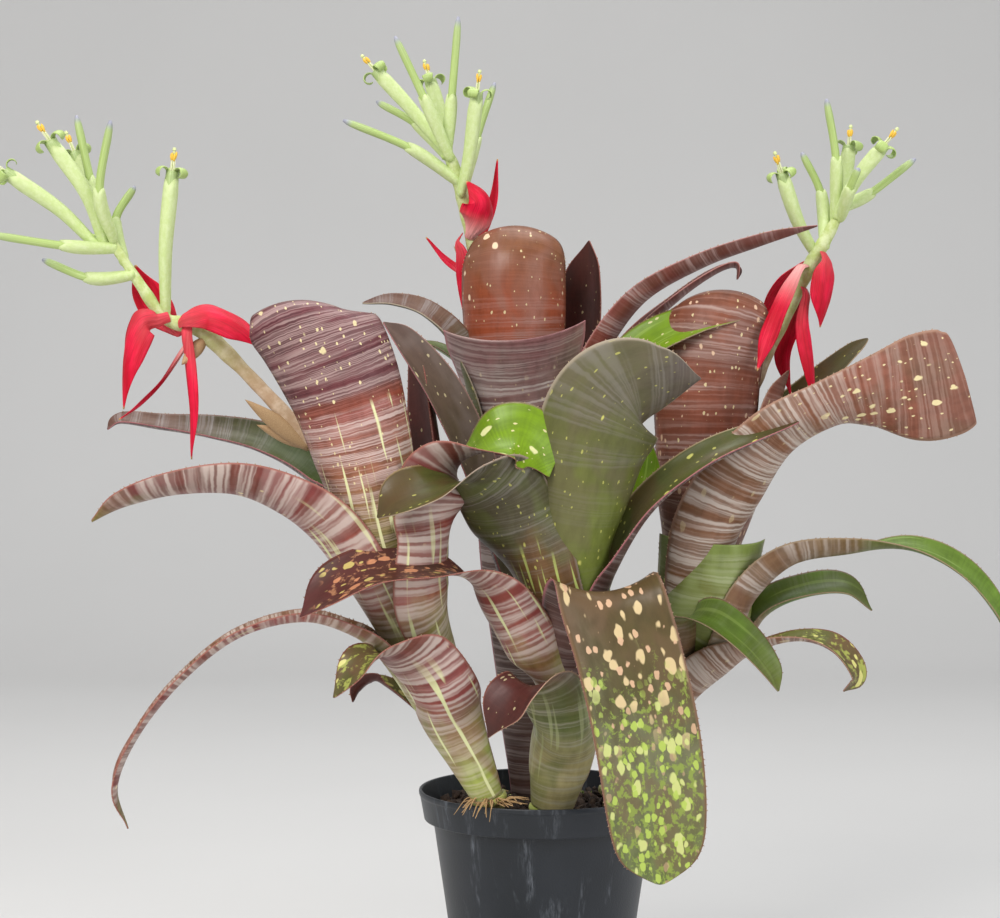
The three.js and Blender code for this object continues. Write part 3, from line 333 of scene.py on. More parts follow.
def add_blade(shape, rows, tip, power, seed):
    """A leaf's blade, thinner at its margins, and its teeth.

    The ripple lifts the margins by a sum of sines of the distance along the blade.
    """
    stations = STATIONS_PER_ROW * (len(rows) - 1) + 1
    t = np.linspace(0, 1, stations)
    if tip > 0:
        closer = np.sin(np.linspace(0, math.pi / 2, TIP_STATIONS))
        t = np.concatenate([np.linspace(0, 1 - tip, stations)[:-1], 1 - tip + tip * closer])
    at = t * (len(rows) - 1)
    across = np.linspace(-1, 1, LEAF_COLUMNS)
    narrowing = tip_narrowing(t, tip, power)
    distance = arc_lengths(curve(rows, at)[:, :3])
    waves = sum(np.sin(distance / (7.0 + 4 * k) + seed * 2.1 + 1.7 * k) for k in range(3)) / 3
    lift = LEAF_RIPPLE * waves[:, None] * across[None, :] ** 4
    flesh = LEAF_THICKNESS / 2 * (1 - 0.45 * across[None, :] ** 6)
    add_curled(shape, rows, at, narrowing, across, flesh, lift, distance, seed * 0.37, (0, 1))
    add_teeth(shape, rows, distance, at, narrowing, seed)


def add_teeth(shape, rows, distance, at, narrowing, seed):
    """Small three-sided teeth along both margins, leaning towards the tip."""
    rng = np.random.default_rng(100 + seed)
    places = np.arange(0.3 * distance[-1], 0.97 * distance[-1], TOOTH_SPACING)
    faces = [[4 * k + v for v in face] for k in range(len(places))
             for face in ([0, 1, 3], [1, 2, 3], [2, 0, 3], [0, 2, 1])]
    for side in (-1.0, 1.0):
        spots = places + rng.uniform(-0.3, 0.3, len(places)) * TOOTH_SPACING
        way = np.interp(spots, distance, at)
        slim = np.interp(way, at, narrowing)
        edge, near = (blade_grid(rows, way, slim, np.array([w]), 0.0)[0][:, 0] for w in (side, 0.97 * side))
        along = tangents(rows, way)
        outward = square_to(edge - near, along)
        up = 0.25 * np.cross(outward, along)
        size = rng.uniform(0.5, 0.9, len(places))[:, None]
        base = edge - 0.3 * outward
        half = 0.7 * size * along
        tip = edge + size * outward + 0.8 * size * along
        shape.add(np.stack([base - half, base + half + up, base + half - up, tip], 1), faces, number=2)


# Leaves, in the order of the rosette they are named after: sheath layer, azimuth, sheath height,
# wrap, tip's share of the length, skins of both faces, slot, and the blade's rows
LEAVES = {
    "left_outer_leaf": (0, -112, 50, 165, 0.2, "pink_banded", "spotted_green", "banded_leaf", [
        (-61, -84, 182, 58, 150), (-73, -94, 202, 52, 110, 0.3, 0.8, 0.6),
        (-85, -103, 208, 34, 70, -0.1, 0.1, 1), (-100, -106, 202, 26, 60, -0.5, -0.6, 0.5),
        (-112, -105, 186, 6, 30, -0.6, -0.7, 0)]),
    "left_ribbon_leaf": (1, 185, 58, 105, 0.1, "pink_banded", "silver_banded", "banded_leaf", [
        (-90, -76, 205, 34, 130), (-107, -80, 218, 29, 110), (-131, -83, 224, 26, 100),
        (-163, -86, 216, 23, 90), (-192, -88, 194, 21, 90), (-216, -88, 165, 25, 60),
        (-229, -86, 136, 23, 50), (-224, -82, 112, 5, 40)]),
    "left_withered_leaf": (2, 150, 50, 90, 0.2, "dark_red", "spotted_green", "brown_leaf", [
        (-87, -46, 185, 16, 90), (-95, -48, 187, 15, 80), (-102, -50, 183, 13, 70),
        (-105, -50, 176, 4, 40)]),
    "left_wide_leaf": (3, -165, 80, 155, 0.1, "pink_banded", "violet_silver", "banded_leaf", [
        (-103, -82, 243, 56, 130, 0.7, 0.5, 0.5), (-119, -90, 270, 52, 110, 0.5, 0.6, 0.6),
        (-138, -94, 286, 44, 95, 0.3, 0.6, 0.75), (-164, -96, 296, 36, 85, 0.1, 0.55, 0.85),
        (-196, -96, 295, 28, 80, 0, 0.5, 0.9), (-223, -93, 288, 21, 70, -0.1, 0.4, 0.9),
        (-241, -90, 278, 8, 50, -0.5, 0.2, 0.8)]),
    "left_tube_leaf": (5, -92, 100, 165, 0.08, "mauve_tube", "violet_olive", "banded_leaf", [
        (-86, -94, 261, 66, 180), (-95, -102, 301, 72, 160), (-106, -106, 343, 78, 140),
        (-117, -108, 374, 80, 125), (-123, -104, 391, 72, 100), (-126, -92, 395, 56, 70),
        (-125, -80, 389, 22, 40)]),
    "left_twisted_leaf": (4, -45, 86, 120, 0.15, "pink_banded", "turned_green", "olive_leaf", [
        (-59, -92, 236, 46, 110), (-58, -97, 269, 44, 108), (-59, -99, 290, 44, 95, -0.1, 0.9, 0.3),
        (-52, -99, 306, 42, 80, -0.2, 0.6, 0.7), (-36, -98, 315, 40, 60, -0.1, -0.1, 1),
        (-18, -96, 323, 42, 50, 0.1, -0.7, 0.6), (-4, -94, 316, 36, 50, 0.4, -0.8, 0.3),
        (2, -92, 302, 8, 30, 0.5, -0.8, 0)]),
    "left_back_leaf": (6, 165, 80, 105, 0.1, "violet_silver", "purple_tip", "green_leaf", [
        (-106, -36, 271, 44, 120), (-127, -29, 298, 43, 100, 0.3, -0.35, 0.85),
        (-153, -26, 314, 38, 90, 0.1, -0.4, 0.9), (-182, -26, 322, 30, 80, 0, -0.4, 0.9),
        (-212, -28, 326, 24, 80, 0, -0.3, 0.95), (-233, -30, 329, 19, 80, -0.3, -0.3, 0.9),
        (-241, -32, 325, 9, 60, -0.8, -0.3, 0.3)]),
    "left_inner_leaf": (7, 20, 80, 110, 0.15, "dark_red", "dark_red", "brown_leaf", [
        (-54, -40, 264, 50, 120), (-57, -30, 302, 50, 100), (-63, -22, 341, 44, 80),
        (-69, -16, 368, 26, 60), (-72, -14, 376, 8, 40)]),
    "front_lower_leaf": (0, -105, 30, 175, 0.2, "pale_sheath", "dark_red", "olive_leaf", [
        (6, -78, 162, 50, 160), (3, -86, 181, 44, 120, 0.1, 0.9, 0.5),
        (-3, -95, 190, 34, 80, -0.2, 0.2, 1), (-13, -102, 190, 31, 55, -0.3, -0.5, 0.7),
        (-23, -103, 179, 27, 50, -0.4, -0.8, 0.3), (-30, -101, 164, 6, 30, -0.5, -0.8, 0.1)]),
    "front_strap_leaf": (1, -55, 62, 140, 0.1, "violet_silver", "olive_spotted", "olive_leaf", [
        (25, -80, 206, 64, 150, -0.2, 0.9, 0.2), (28, -87, 228, 64, 110, -0.2, 0.8, 0.5),
        (31, -97, 241, 60, 70, -0.1, 0.2, 1), (36, -108, 233, 58, 45, 0, -0.9, 0.4),
        (45, -112, 202, 57, 36, 0.1, -1, 0.1), (53, -112, 165, 57, 36, 0.1, -1, 0.05),
        (58, -110, 127, 54, 34, 0.1, -1, 0), (60, -108, 103, 44, 32, 0.1, -1, 0),
        (61, -107, 87, 16, 30, 0.1, -1, 0)]),
    "front_spotted_leaf": (2, -150, 60, 130, 0.15, "pink_banded", "maroon_spotted", "brown_leaf", [
        (-7, -76, 197, 46, 150, 0.4, 0.8, 0.2), (-20, -84, 224, 42, 120, 0.3, 0.75, 0.5),
        (-34, -93, 244, 35, 80, 0.1, 0.3, 1), (-61, -102, 254, 37, 55, 0, -0.4, 0.95),
        (-91, -108, 253, 38, 55, -0.1, -0.5, 0.85), (-115, -110, 242, 33, 55, -0.3, -0.55, 0.7),
        (-129, -108, 229, 8, 40, -0.6, -0.5, 0.4)]),
    "front_right_leaf": (3, 0, 80, 105, 0.1, "violet_silver", "dark_olive", "olive_leaf", [
        (33, -60, 228, 44, 140), (41, -62, 255, 38, 120, -0.7, -0.2, 0.5),
        (58, -64, 284, 34, 100, -0.6, -0.35, 0.7), (84, -64, 306, 31, 95, -0.4, -0.4, 0.8),
        (112, -62, 320, 25, 90, -0.3, -0.4, 0.85), (138, -60, 330, 6, 50, -0.2, -0.4, 0.85)]),
    "front_left_leaf": (4, -130, 86, 140, 0.18, "violet_olive", "dark_olive", "olive_leaf", [
        (-7, -80, 241, 58, 160), (-17, -90, 272, 60, 130, 0.1, 0.95, 0.2),
        (-24, -98, 291, 54, 95, -0.1, 0.8, 0.5), (-40, -110, 300, 44, 65, -0.3, 0.1, 0.95),
        (-60, -117, 297, 38, 55, -0.2, -0.5, 0.85), (-78, -119, 291, 33, 55, -0.4, -0.6, 0.6),
        (-88, -117, 282, 10, 40, -0.7, -0.5, 0.3)]),
    "front_tall_leaf": (5, -75, 92, 165, 0.1, "grey_olive", "dark_olive", "olive_leaf", [
        (20, -80, 251, 54, 160), (25, -88, 287, 70, 140), (31, -94, 319, 78, 115),
        (42, -94, 342, 72, 85, -0.2, 0.9, 0.4), (63, -88, 351, 46, 60, -0.3, 0.8, 0.6),
        (83, -84, 354, 6, 40, -0.3, 0.8, 0.6)]),
    "front_rear_leaf": (6, 150, 86, 105, 0.1, "violet_silver", "brown_olive", "brown_leaf", [
        (-13, -34, 222, 32, 120), (-27, -30, 261, 34, 100, 0.8, -0.5, 0.2),
        (-40, -30, 305, 36, 80, 0.75, -0.55, 0.3), (-57, -34, 344, 33, 65, 0.6, -0.6, 0.45),
        (-76, -38, 372, 22, 60, 0.5, -0.6, 0.5), (-88, -40, 384, 6, 40, 0.4, -0.6, 0.6)]),
    "front_small_leaf": (7, 50, 88, 90, 0.15, "green", "bright_green", "green_leaf", [
        (27, -34, 225, 30, 110), (42, -28, 261, 28, 95, -0.5, -0.5, 0.6),
        (54, -24, 294, 28, 70, -0.2, -0.8, 0.4), (58, -22, 324, 6, 50, -0.1, -0.8, 0.4)]),
    "rear_collar_leaf": (0, -90, 150, 120, 0, "silver_collar", "dark_red", "banded_leaf", [
        (-9, -2, 307, 74, 165), (-10, -5, 329, 76, 150), (-13, -9, 347, 84, 130), (-15, -16, 363, 90, 110),
        (-16, -22, 374, 90, 95)]),
    "rear_green_leaf": (1, -35, 140, 110, 0.15, "green_banded", "bright_green", "green_leaf", [
        (27, 8, 317, 38, 130), (39, 0, 347, 36, 90, -0.5, -0.5, 0.7),
        (60, -6, 371, 34, 70, -0.3, -0.6, 0.75), (88, -10, 384, 28, 60, -0.1, -0.6, 0.8),
        (115, -12, 388, 14, 50, 0, -0.6, 0.8)]),
    "rear_ribbon_leaf": (2, -10, 150, 105, 0.1, "brown_band", "violet_silver", "banded_leaf", [
        (26, 24, 340, 34, 130), (36, 18, 368, 29, 120, -0.6, 0.4, 0.6),
        (57, 10, 397, 23, 110, -0.5, 0.5, 0.7), (89, 0, 416, 18, 100, -0.3, 0.5, 0.8),
        (121, -10, 428, 14, 90, -0.2, 0.5, 0.85), (153, -13, 438, 5, 60, -0.2, 0.5, 0.85)]),
    "rear_curled_leaf": (3, 10, 150, 105, 0.1, "brown_band", "dark_red", "brown_leaf", [
        (36, 34, 340, 32, 120), (52, 36, 371, 27, 110, -0.6, -0.1, 0.7),
        (79, 38, 397, 22, 100, -0.4, 0, 0.9), (100, 40, 412, 18, 90, 0, 0, 1),
        (112, 40, 416, 15, 80, 0.6, 0, 0.8), (113, 38, 409, 7, 60, 1, 0, 0)]),
    "rear_left_leaf": (4, 170, 150, 105, 0.1, "grey_olive", "purple_tip", "green_leaf", [
        (-39, 16, 329, 34, 120), (-48, 12, 368, 29, 100, 0.5, -0.4, 0.7),
        (-65, 10, 388, 24, 90, 0.2, -0.4, 0.9), (-84, 10, 395, 17, 80, 0, -0.4, 0.9),
        (-102, 10, 395, 6, 60, 0, -0.4, 0.9)]),
    "rear_dark_leaf": (5, 45, 160, 105, 0.15, "dark_red", "dark_red", "brown_leaf", [
        (24, 52, 339, 44, 120), (27, 54, 380, 41, 105), (28, 54, 412, 32, 90), (28, 54, 432, 7, 50)]),
    "rear_tube_leaf": (6, -90, 160, 165, 0.08, "orange_tube", "red_tube", "banded_leaf", [
        (-13, 7, 318, 76, 165), (-15, 5, 357, 78, 155), (-16, 5, 397, 78, 145), (-16, 8, 422, 74, 130),
        (-15, 18, 436, 58, 90), (-15, 30, 439, 40, 60), (-15, 42, 432, 16, 40)]),
    "rear_short_leaf": (7, 150, 150, 105, 0.15, "green", "green", "green_leaf", [
        (-35, 56, 327, 28, 110), (-44, 58, 355, 25, 90), (-59, 60, 368, 18, 70), (-74, 60, 374, 5, 40)]),
    "right_curled_leaf": (0, -35, 44, 130, 0.1, "silver_banded", "spotted_green", "green_leaf", [
        (82, -24, 172, 52, 150), (100, -28, 190, 44, 120, -0.5, 0.5, 0.6),
        (119, -30, 202, 28, 100, -0.2, 0.2, 0.95), (142, -31, 208, 23, 80, 0.1, -0.1, 1),
        (162, -31, 203, 25, 60, 0.5, -0.4, 0.75), (174, -30, 188, 20, 50, 0.8, -0.5, 0.1),
        (167, -29, 179, 5, 40, 0.5, -0.5, -0.7)]),
    "right_drooping_leaf": (1, -75, 56, 105, 0.12, "green_banded", "green", "green_leaf", [
        (73, -36, 200, 38, 120), (77, -48, 220, 33, 90, -0.1, -0.1, 1),
        (90, -58, 223, 31, 75, 0.2, -0.5, 0.85), (109, -64, 210, 27, 65, 0.5, -0.6, 0.6),
        (122, -66, 195, 19, 60, 0.7, -0.6, 0.3), (127, -66, 184, 6, 40, 0.8, -0.6, 0)]),
    "right_green_leaf": (2, 10, 56, 105, 0.15, "green_banded", "green", "green_leaf", [
        (110, 6, 192, 38, 130), (126, 4, 219, 33, 110, -0.5, -0.3, 0.8),
        (149, 2, 231, 30, 90, -0.1, -0.35, 0.9), (172, 2, 233, 26, 70, 0.3, -0.4, 0.85),
        (187, 2, 221, 6, 50, 0.7, -0.4, 0.5)]),
    "right_long_leaf": (3, -12, 66, 105, 0.1, "green_banded", "green_banded", "green_leaf", [
        (106, -22, 204, 44, 140), (117, -28, 231, 38, 120, -0.6, 0.4, 0.6),
        (138, -32, 251, 32, 105, -0.2, 0.4, 0.85), (170, -34, 257, 25, 95, 0, 0.35, 0.95),
        (204, -34, 259, 23, 80, 0.1, -0.3, 0.95), (232, -34, 246, 28, 65, 0.5, -0.4, 0.75),
        (251, -33, 224, 24, 55, 0.7, -0.4, 0.55), (261, -32, 202, 6, 40, 0.8, -0.4, 0.3)]),
    "right_sheath_leaf": (4, -85, 74, 145, 0, "silver_green", "green", "green_leaf", [
        (90, -34, 208, 78, 180), (93, -38, 231, 80, 170), (95, -41, 249, 80, 155),
        (96, -43, 262, 76, 135)]),
    "right_banded_leaf": (5, -40, 92, 140, 0.03, "silver_banded", "dark_red", "banded_leaf", [
        (99, -34, 253, 70, 170), (108, -44, 284, 64, 145, -0.5, 0.8, 0.3),
        (129, -52, 316, 52, 120, -0.5, 0.75, 0.5), (155, -58, 334, 42, 95, -0.3, 0.75, 0.6),
        (177, -60, 342, 48, 60, -0.2, 0.85, 0.5), (201, -60, 347, 60, 34, -0.1, 1, 0.2),
        (219, -60, 351, 60, 26, -0.1, 1, 0.1), (228, -60, 354, 52, 24, -0.1, 1, 0.1)]),
    "right_small_leaf": (6, -20, 110, 105, 0.15, "silver_banded", "dark_red", "brown_leaf", [
        (128, 4, 301, 30, 100), (131, 2, 326, 28, 90, -0.8, 0.5, 0.3),
        (134, 2, 343, 20, 80, -0.7, 0.5, 0.4), (139, 2, 357, 6, 60, -0.6, 0.5, 0.5)]),
    "right_back_leaf": (7, 30, 110, 105, 0.1, "green_banded", "dark_olive", "green_leaf", [
        (118, 22, 282, 42, 120), (135, 24, 320, 36, 100, -0.6, -0.5, 0.6),
        (157, 26, 345, 28, 80, -0.5, -0.5, 0.7), (176, 26, 365, 16, 60, -0.3, -0.5, 0.8),
        (187, 26, 375, 6, 40, 0, -0.5, 0.8)]),
    "right_tube_leaf": (8, -95, 110, 165, 0.08, "red_tube", "dark_red", "banded_leaf", [
        (90, -18, 274, 78, 170), (90, -20, 313, 80, 160), (91, -20, 352, 80, 150), (95, -18, 383, 76, 135),
        (98, -12, 398, 62, 95), (100, -2, 402, 44, 60), (101, 10, 396, 16, 40)]),
}

# Spikes: the scape's rows, flowers' paths and whether they are open, and the bracts' rows
SPIKES = {
    "left": {
        "scape": [
            (-104, -66, 283, 4.5), (-120, -61, 312, 5), (-146, -58, 340, 5), (-171, -58, 366, 5),
            (-188, -60, 381, 4.5), (-205, -60, 386, 3.5), (-219, -60, 405, 3), (-234, -60, 428, 2.5)],
        "flowers": [
            (((-205, -60, 390), (-204, -66, 425), (-200, -66, 465)), True),
            (((-238, -60, 427), (-246, -68, 453), (-265, -70, 481)), True),
            (((-238, -56, 430), (-246, -53, 460), (-254, -50, 496)), False),
            (((-233, -63, 430), (-238, -75, 453), (-231, -80, 491)), False),
            (((-228, -57, 418), (-233, -51, 439), (-223, -46, 458)), False),
            (((-242, -60, 426), (-262, -59, 445), (-291, -62, 465)), True),
            (((-233, -61, 424), (-258, -67, 425), (-298, -72, 431)), False),
            (((-225, -62, 409), (-247, -55, 408), (-273, -50, 418)), False),
            (((-238, -55, 432), (-246, -42, 452), (-257, -38, 477)), True)],
        "bracts": [
            ((-193, -68, 386, 7, 70), (-179, -73, 389, 16, 100), (-163, -76, 382, 15, 110),
             (-148, -77, 369, 3, 60)),
            ((-192, -66, 378, 5, 100), (-191, -70, 361, 9, 150), (-189, -72, 337, 8, 150),
             (-189, -70, 312, 3, 60)),
            ((-194, -58, 372, 5, 90), (-206, -56, 355, 7, 90), (-218, -54, 343, 6, 80),
             (-230, -52, 335, 3, 60)),
            ((-207, -67, 386, 6, 60), (-216, -70, 383, 14, 90), (-224, -71, 363, 15, 100),
             (-226, -69, 338, 3, 60)),
            ((-205, -52, 382, 6, 60), (-214, -48, 392, 15, 80), (-222, -46, 405, 14, 90),
             (-227, -48, 418, 3, 60))],
    },
    "rear": {
        "scape": [
            (-24, 34, 328, 3.5), (-31, 40, 380, 4), (-37, 44, 415, 4), (-43, 44, 446, 4),
            (-48, 42, 466, 4), (-55, 40, 485, 2.5)],
        "flowers": [
            (((-55, 40, 482), (-52, 40, 512), (-48, 40, 560)), False),
            (((-46, 38, 460), (-41, 34, 483), (-37, 30, 516)), True),
            (((-45, 46, 463), (-38, 54, 490), (-27, 58, 524)), False),
            (((-55, 42, 483), (-75, 46, 507), (-96, 50, 530)), True),
            (((-54, 36, 481), (-67, 28, 511), (-84, 24, 547)), False),
            (((-54, 44, 480), (-72, 52, 499), (-96, 58, 513)), False),
            (((-49, 40, 466), (-75, 36, 484), (-114, 32, 500)), False),
            (((-54, 46, 482), (-58, 56, 502), (-65, 62, 526)), True)],
        "bracts": [
            ((-41, 38, 436, 7, 90), (-37, 32, 444, 19, 110), (-35, 30, 454, 17, 110),
             (-44, 34, 465, 3, 60)),
            ((-39, 50, 432, 5, 90), (-31, 54, 443, 7, 90), (-27, 54, 458, 7, 90), (-26, 52, 479, 3, 60)),
            ((-48, 40, 430, 5, 90), (-46, 35, 422, 9, 110), (-45, 34, 403, 9, 110), (-42, 34, 382, 3, 60)),
            ((-39, 50, 417, 5, 80), (-47, 52, 414, 6, 70), (-57, 53, 421, 6, 60), (-67, 53, 433, 3, 50))],
    },
    "right": {
        "scape": [
            (115, 14, 329, 4), (125, 14, 357, 4), (136, 12, 383, 4), (149, 10, 411, 4), (158, 10, 427, 4),
            (168, 10, 445, 2.5)],
        "flowers": [
            (((155, 14, 423), (144, 4, 441), (134, -2, 468)), True),
            (((160, 10, 430), (159, 20, 457), (148, 22, 481)), False),
            (((166, 11, 442), (166, 8, 475), (160, 6, 510)), False),
            (((167, 8, 445), (177, 1, 465), (191, -4, 483)), True),
            (((171, 15, 447), (174, 26, 467), (176, 30, 485)), True),
            (((168, 14, 448), (186, 15, 457), (212, 16, 477)), False),
            (((169, 7, 444), (172, -6, 459), (176, -12, 470)), False)],
        "bracts": [
            ((159, 3, 419, 7, 90), (159, -1, 411, 16, 110), (157, -2, 397, 16, 110), (154, 0, 382, 3, 60)),
            ((148, 4, 399, 5, 90), (146, -4, 383, 9, 130), (149, -8, 360, 9, 130), (151, -8, 338, 3, 60)),
            ((149, 18, 415, 7, 90), (141, 22, 407, 15, 100), (132, 24, 397, 12, 100),
             (126, 24, 387, 3, 60)),
            ((145, 0, 414, 5, 90), (134, -12, 394, 8, 90), (126, -19, 375, 8, 90), (120, -24, 357, 3, 60)),
            ((147, 18, 397, 6, 90), (142, 22, 380, 12, 110), (139, 22, 362, 11, 110),
             (142, 20, 342, 3, 60))],
    },
}


# Finishes: every material is built from noise, cells and ramps on the piece's own UV map and tags
class Look:
    """One material and its nodes."""

    def __init__(self, name, roughness=0.5, coordinates="skin", **sockets):
        self.material = bpy.data.materials.new(name)
        self.material.use_nodes = True
        self.tree = self.material.node_tree
        self.shader = self.tree.nodes["Principled BSDF"]
        self.shader.inputs["Roughness"].default_value = roughness
        for socket, value in sockets.items():
            self.shader.inputs[socket.replace("_", " ")].default_value = value
        if coordinates == "skin":
            self.place = self.node("ShaderNodeUVMap", uv_map="skin").outputs["UV"]
            tags = self.node("ShaderNodeAttribute", attribute_name="tags").outputs["Color"]
            self.edge, self.reach, self.spare = self.node("ShaderNodeSeparateColor", [tags]).outputs
        else:
            self.place = self.node("ShaderNodeTexCoord").outputs["Object"]

    def node(self, kind, inputs=(), **properties):
        """A node with its properties, and its inputs linked or set in order."""
        node = self.tree.nodes.new(kind)
        for name, value in properties.items():
            setattr(node, name, value)
        items = inputs.items() if isinstance(inputs, dict) else enumerate(inputs)
        for key, value in items:
            self.put(value, node.inputs[key])
        return node

    def put(self, value, socket):
        """Links a socket or sets its value."""
        if isinstance(value, bpy.types.NodeSocket):
            self.tree.links.new(value, socket)
        elif value is not None:
            if socket.type == "RGBA" and len(value) == 3:
                value = (*value, 1)
            socket.default_value = value

    def math(self, operation, *values):
        """A sum, product or the like of numbers."""
        return self.node("ShaderNodeMath", values, operation=operation).outputs[0]

    def times(self, a, b):
        """Product of two numbers."""
        return self.math("MULTIPLY", a, b)

    def plus(self, a, b):
        """Sum of two numbers."""
        return self.math("ADD", a, b)

    def mix(self, amount, a, b):
        """Colour a turned into colour b by the amount."""
        return self.node("ShaderNodeMix", {0: amount, 6: a, 7: b}, data_type="RGBA").outputs[2]

    def smooth(self, value, low, high, out_low=0.0, out_high=1.0):
        """Value brought from a range to another, with soft ends."""
        node = self.node("ShaderNodeMapRange", [value, low, high, out_low, out_high],
                         interpolation_type="SMOOTHSTEP")
        return node.outputs[0]

    def ramp(self, value, stops):
        """Colours or greys laid along a value: each stop is its place and one or three numbers."""
        node = self.node("ShaderNodeValToRGB", [value])
        elements = node.color_ramp.elements
        for index, (at, *shade) in enumerate(stops):
            element = elements[index] if index < 2 else elements.new(at)
            element.position = at
            element.color = (*(shade if len(shade) == 3 else shade * 3), 1)
        return node.outputs["Color"]

    def stretched(self, scale, shift=(0, 0, 0), place=None):
        """The pattern's coordinates multiplied along each direction."""
        return self.node("ShaderNodeMapping", {0: place or self.place, 1: shift, 3: scale}).outputs[0]

    def darker(self, colour, value, saturation):
        """The colour with its value and saturation multiplied."""
        inputs = {"Value": value, "Saturation": saturation, "Color": colour}
        return self.node("ShaderNodeHueSaturation", inputs).outputs[0]

    def noise(self, scale, detail=3.0, rough=0.55, twist=0.0, shift=(0, 0, 0), place=None):
        """Cloudy noise from 0 to 1, with its own stretch."""
        inputs = {"Vector": self.stretched(scale, shift, place), "Scale": 1.0, "Detail": detail,
                  "Roughness": rough, "Distortion": twist}
        return self.node("ShaderNodeTexNoise", inputs).outputs["Fac"]

    def cells(self, scale, shift):
        """Distance to the nearest of scattered points, and two random numbers of that point."""
        inputs = {"Vector": self.stretched(scale, shift), "Scale": 1.0, "Randomness": 0.85}
        node = self.node("ShaderNodeTexVoronoi", inputs)
        parts = self.node("ShaderNodeSeparateColor", [node.outputs["Color"]]).outputs
        return node.outputs["Distance"], parts[0], parts[1]

    def finish(self, colour, bump, distance=0.0004, strength=0.5, roughness=None):
        """Colour, relief and roughness put on the shader."""
        self.put(colour, self.shader.inputs["Base Color"])
        self.put(roughness, self.shader.inputs["Roughness"])
        if bump is not None:
            relief = self.node("ShaderNodeBump", {"Strength": strength, "Distance": distance, "Height": bump})
            self.put(relief.outputs[0], self.shader.inputs["Normal"])
        return self.material


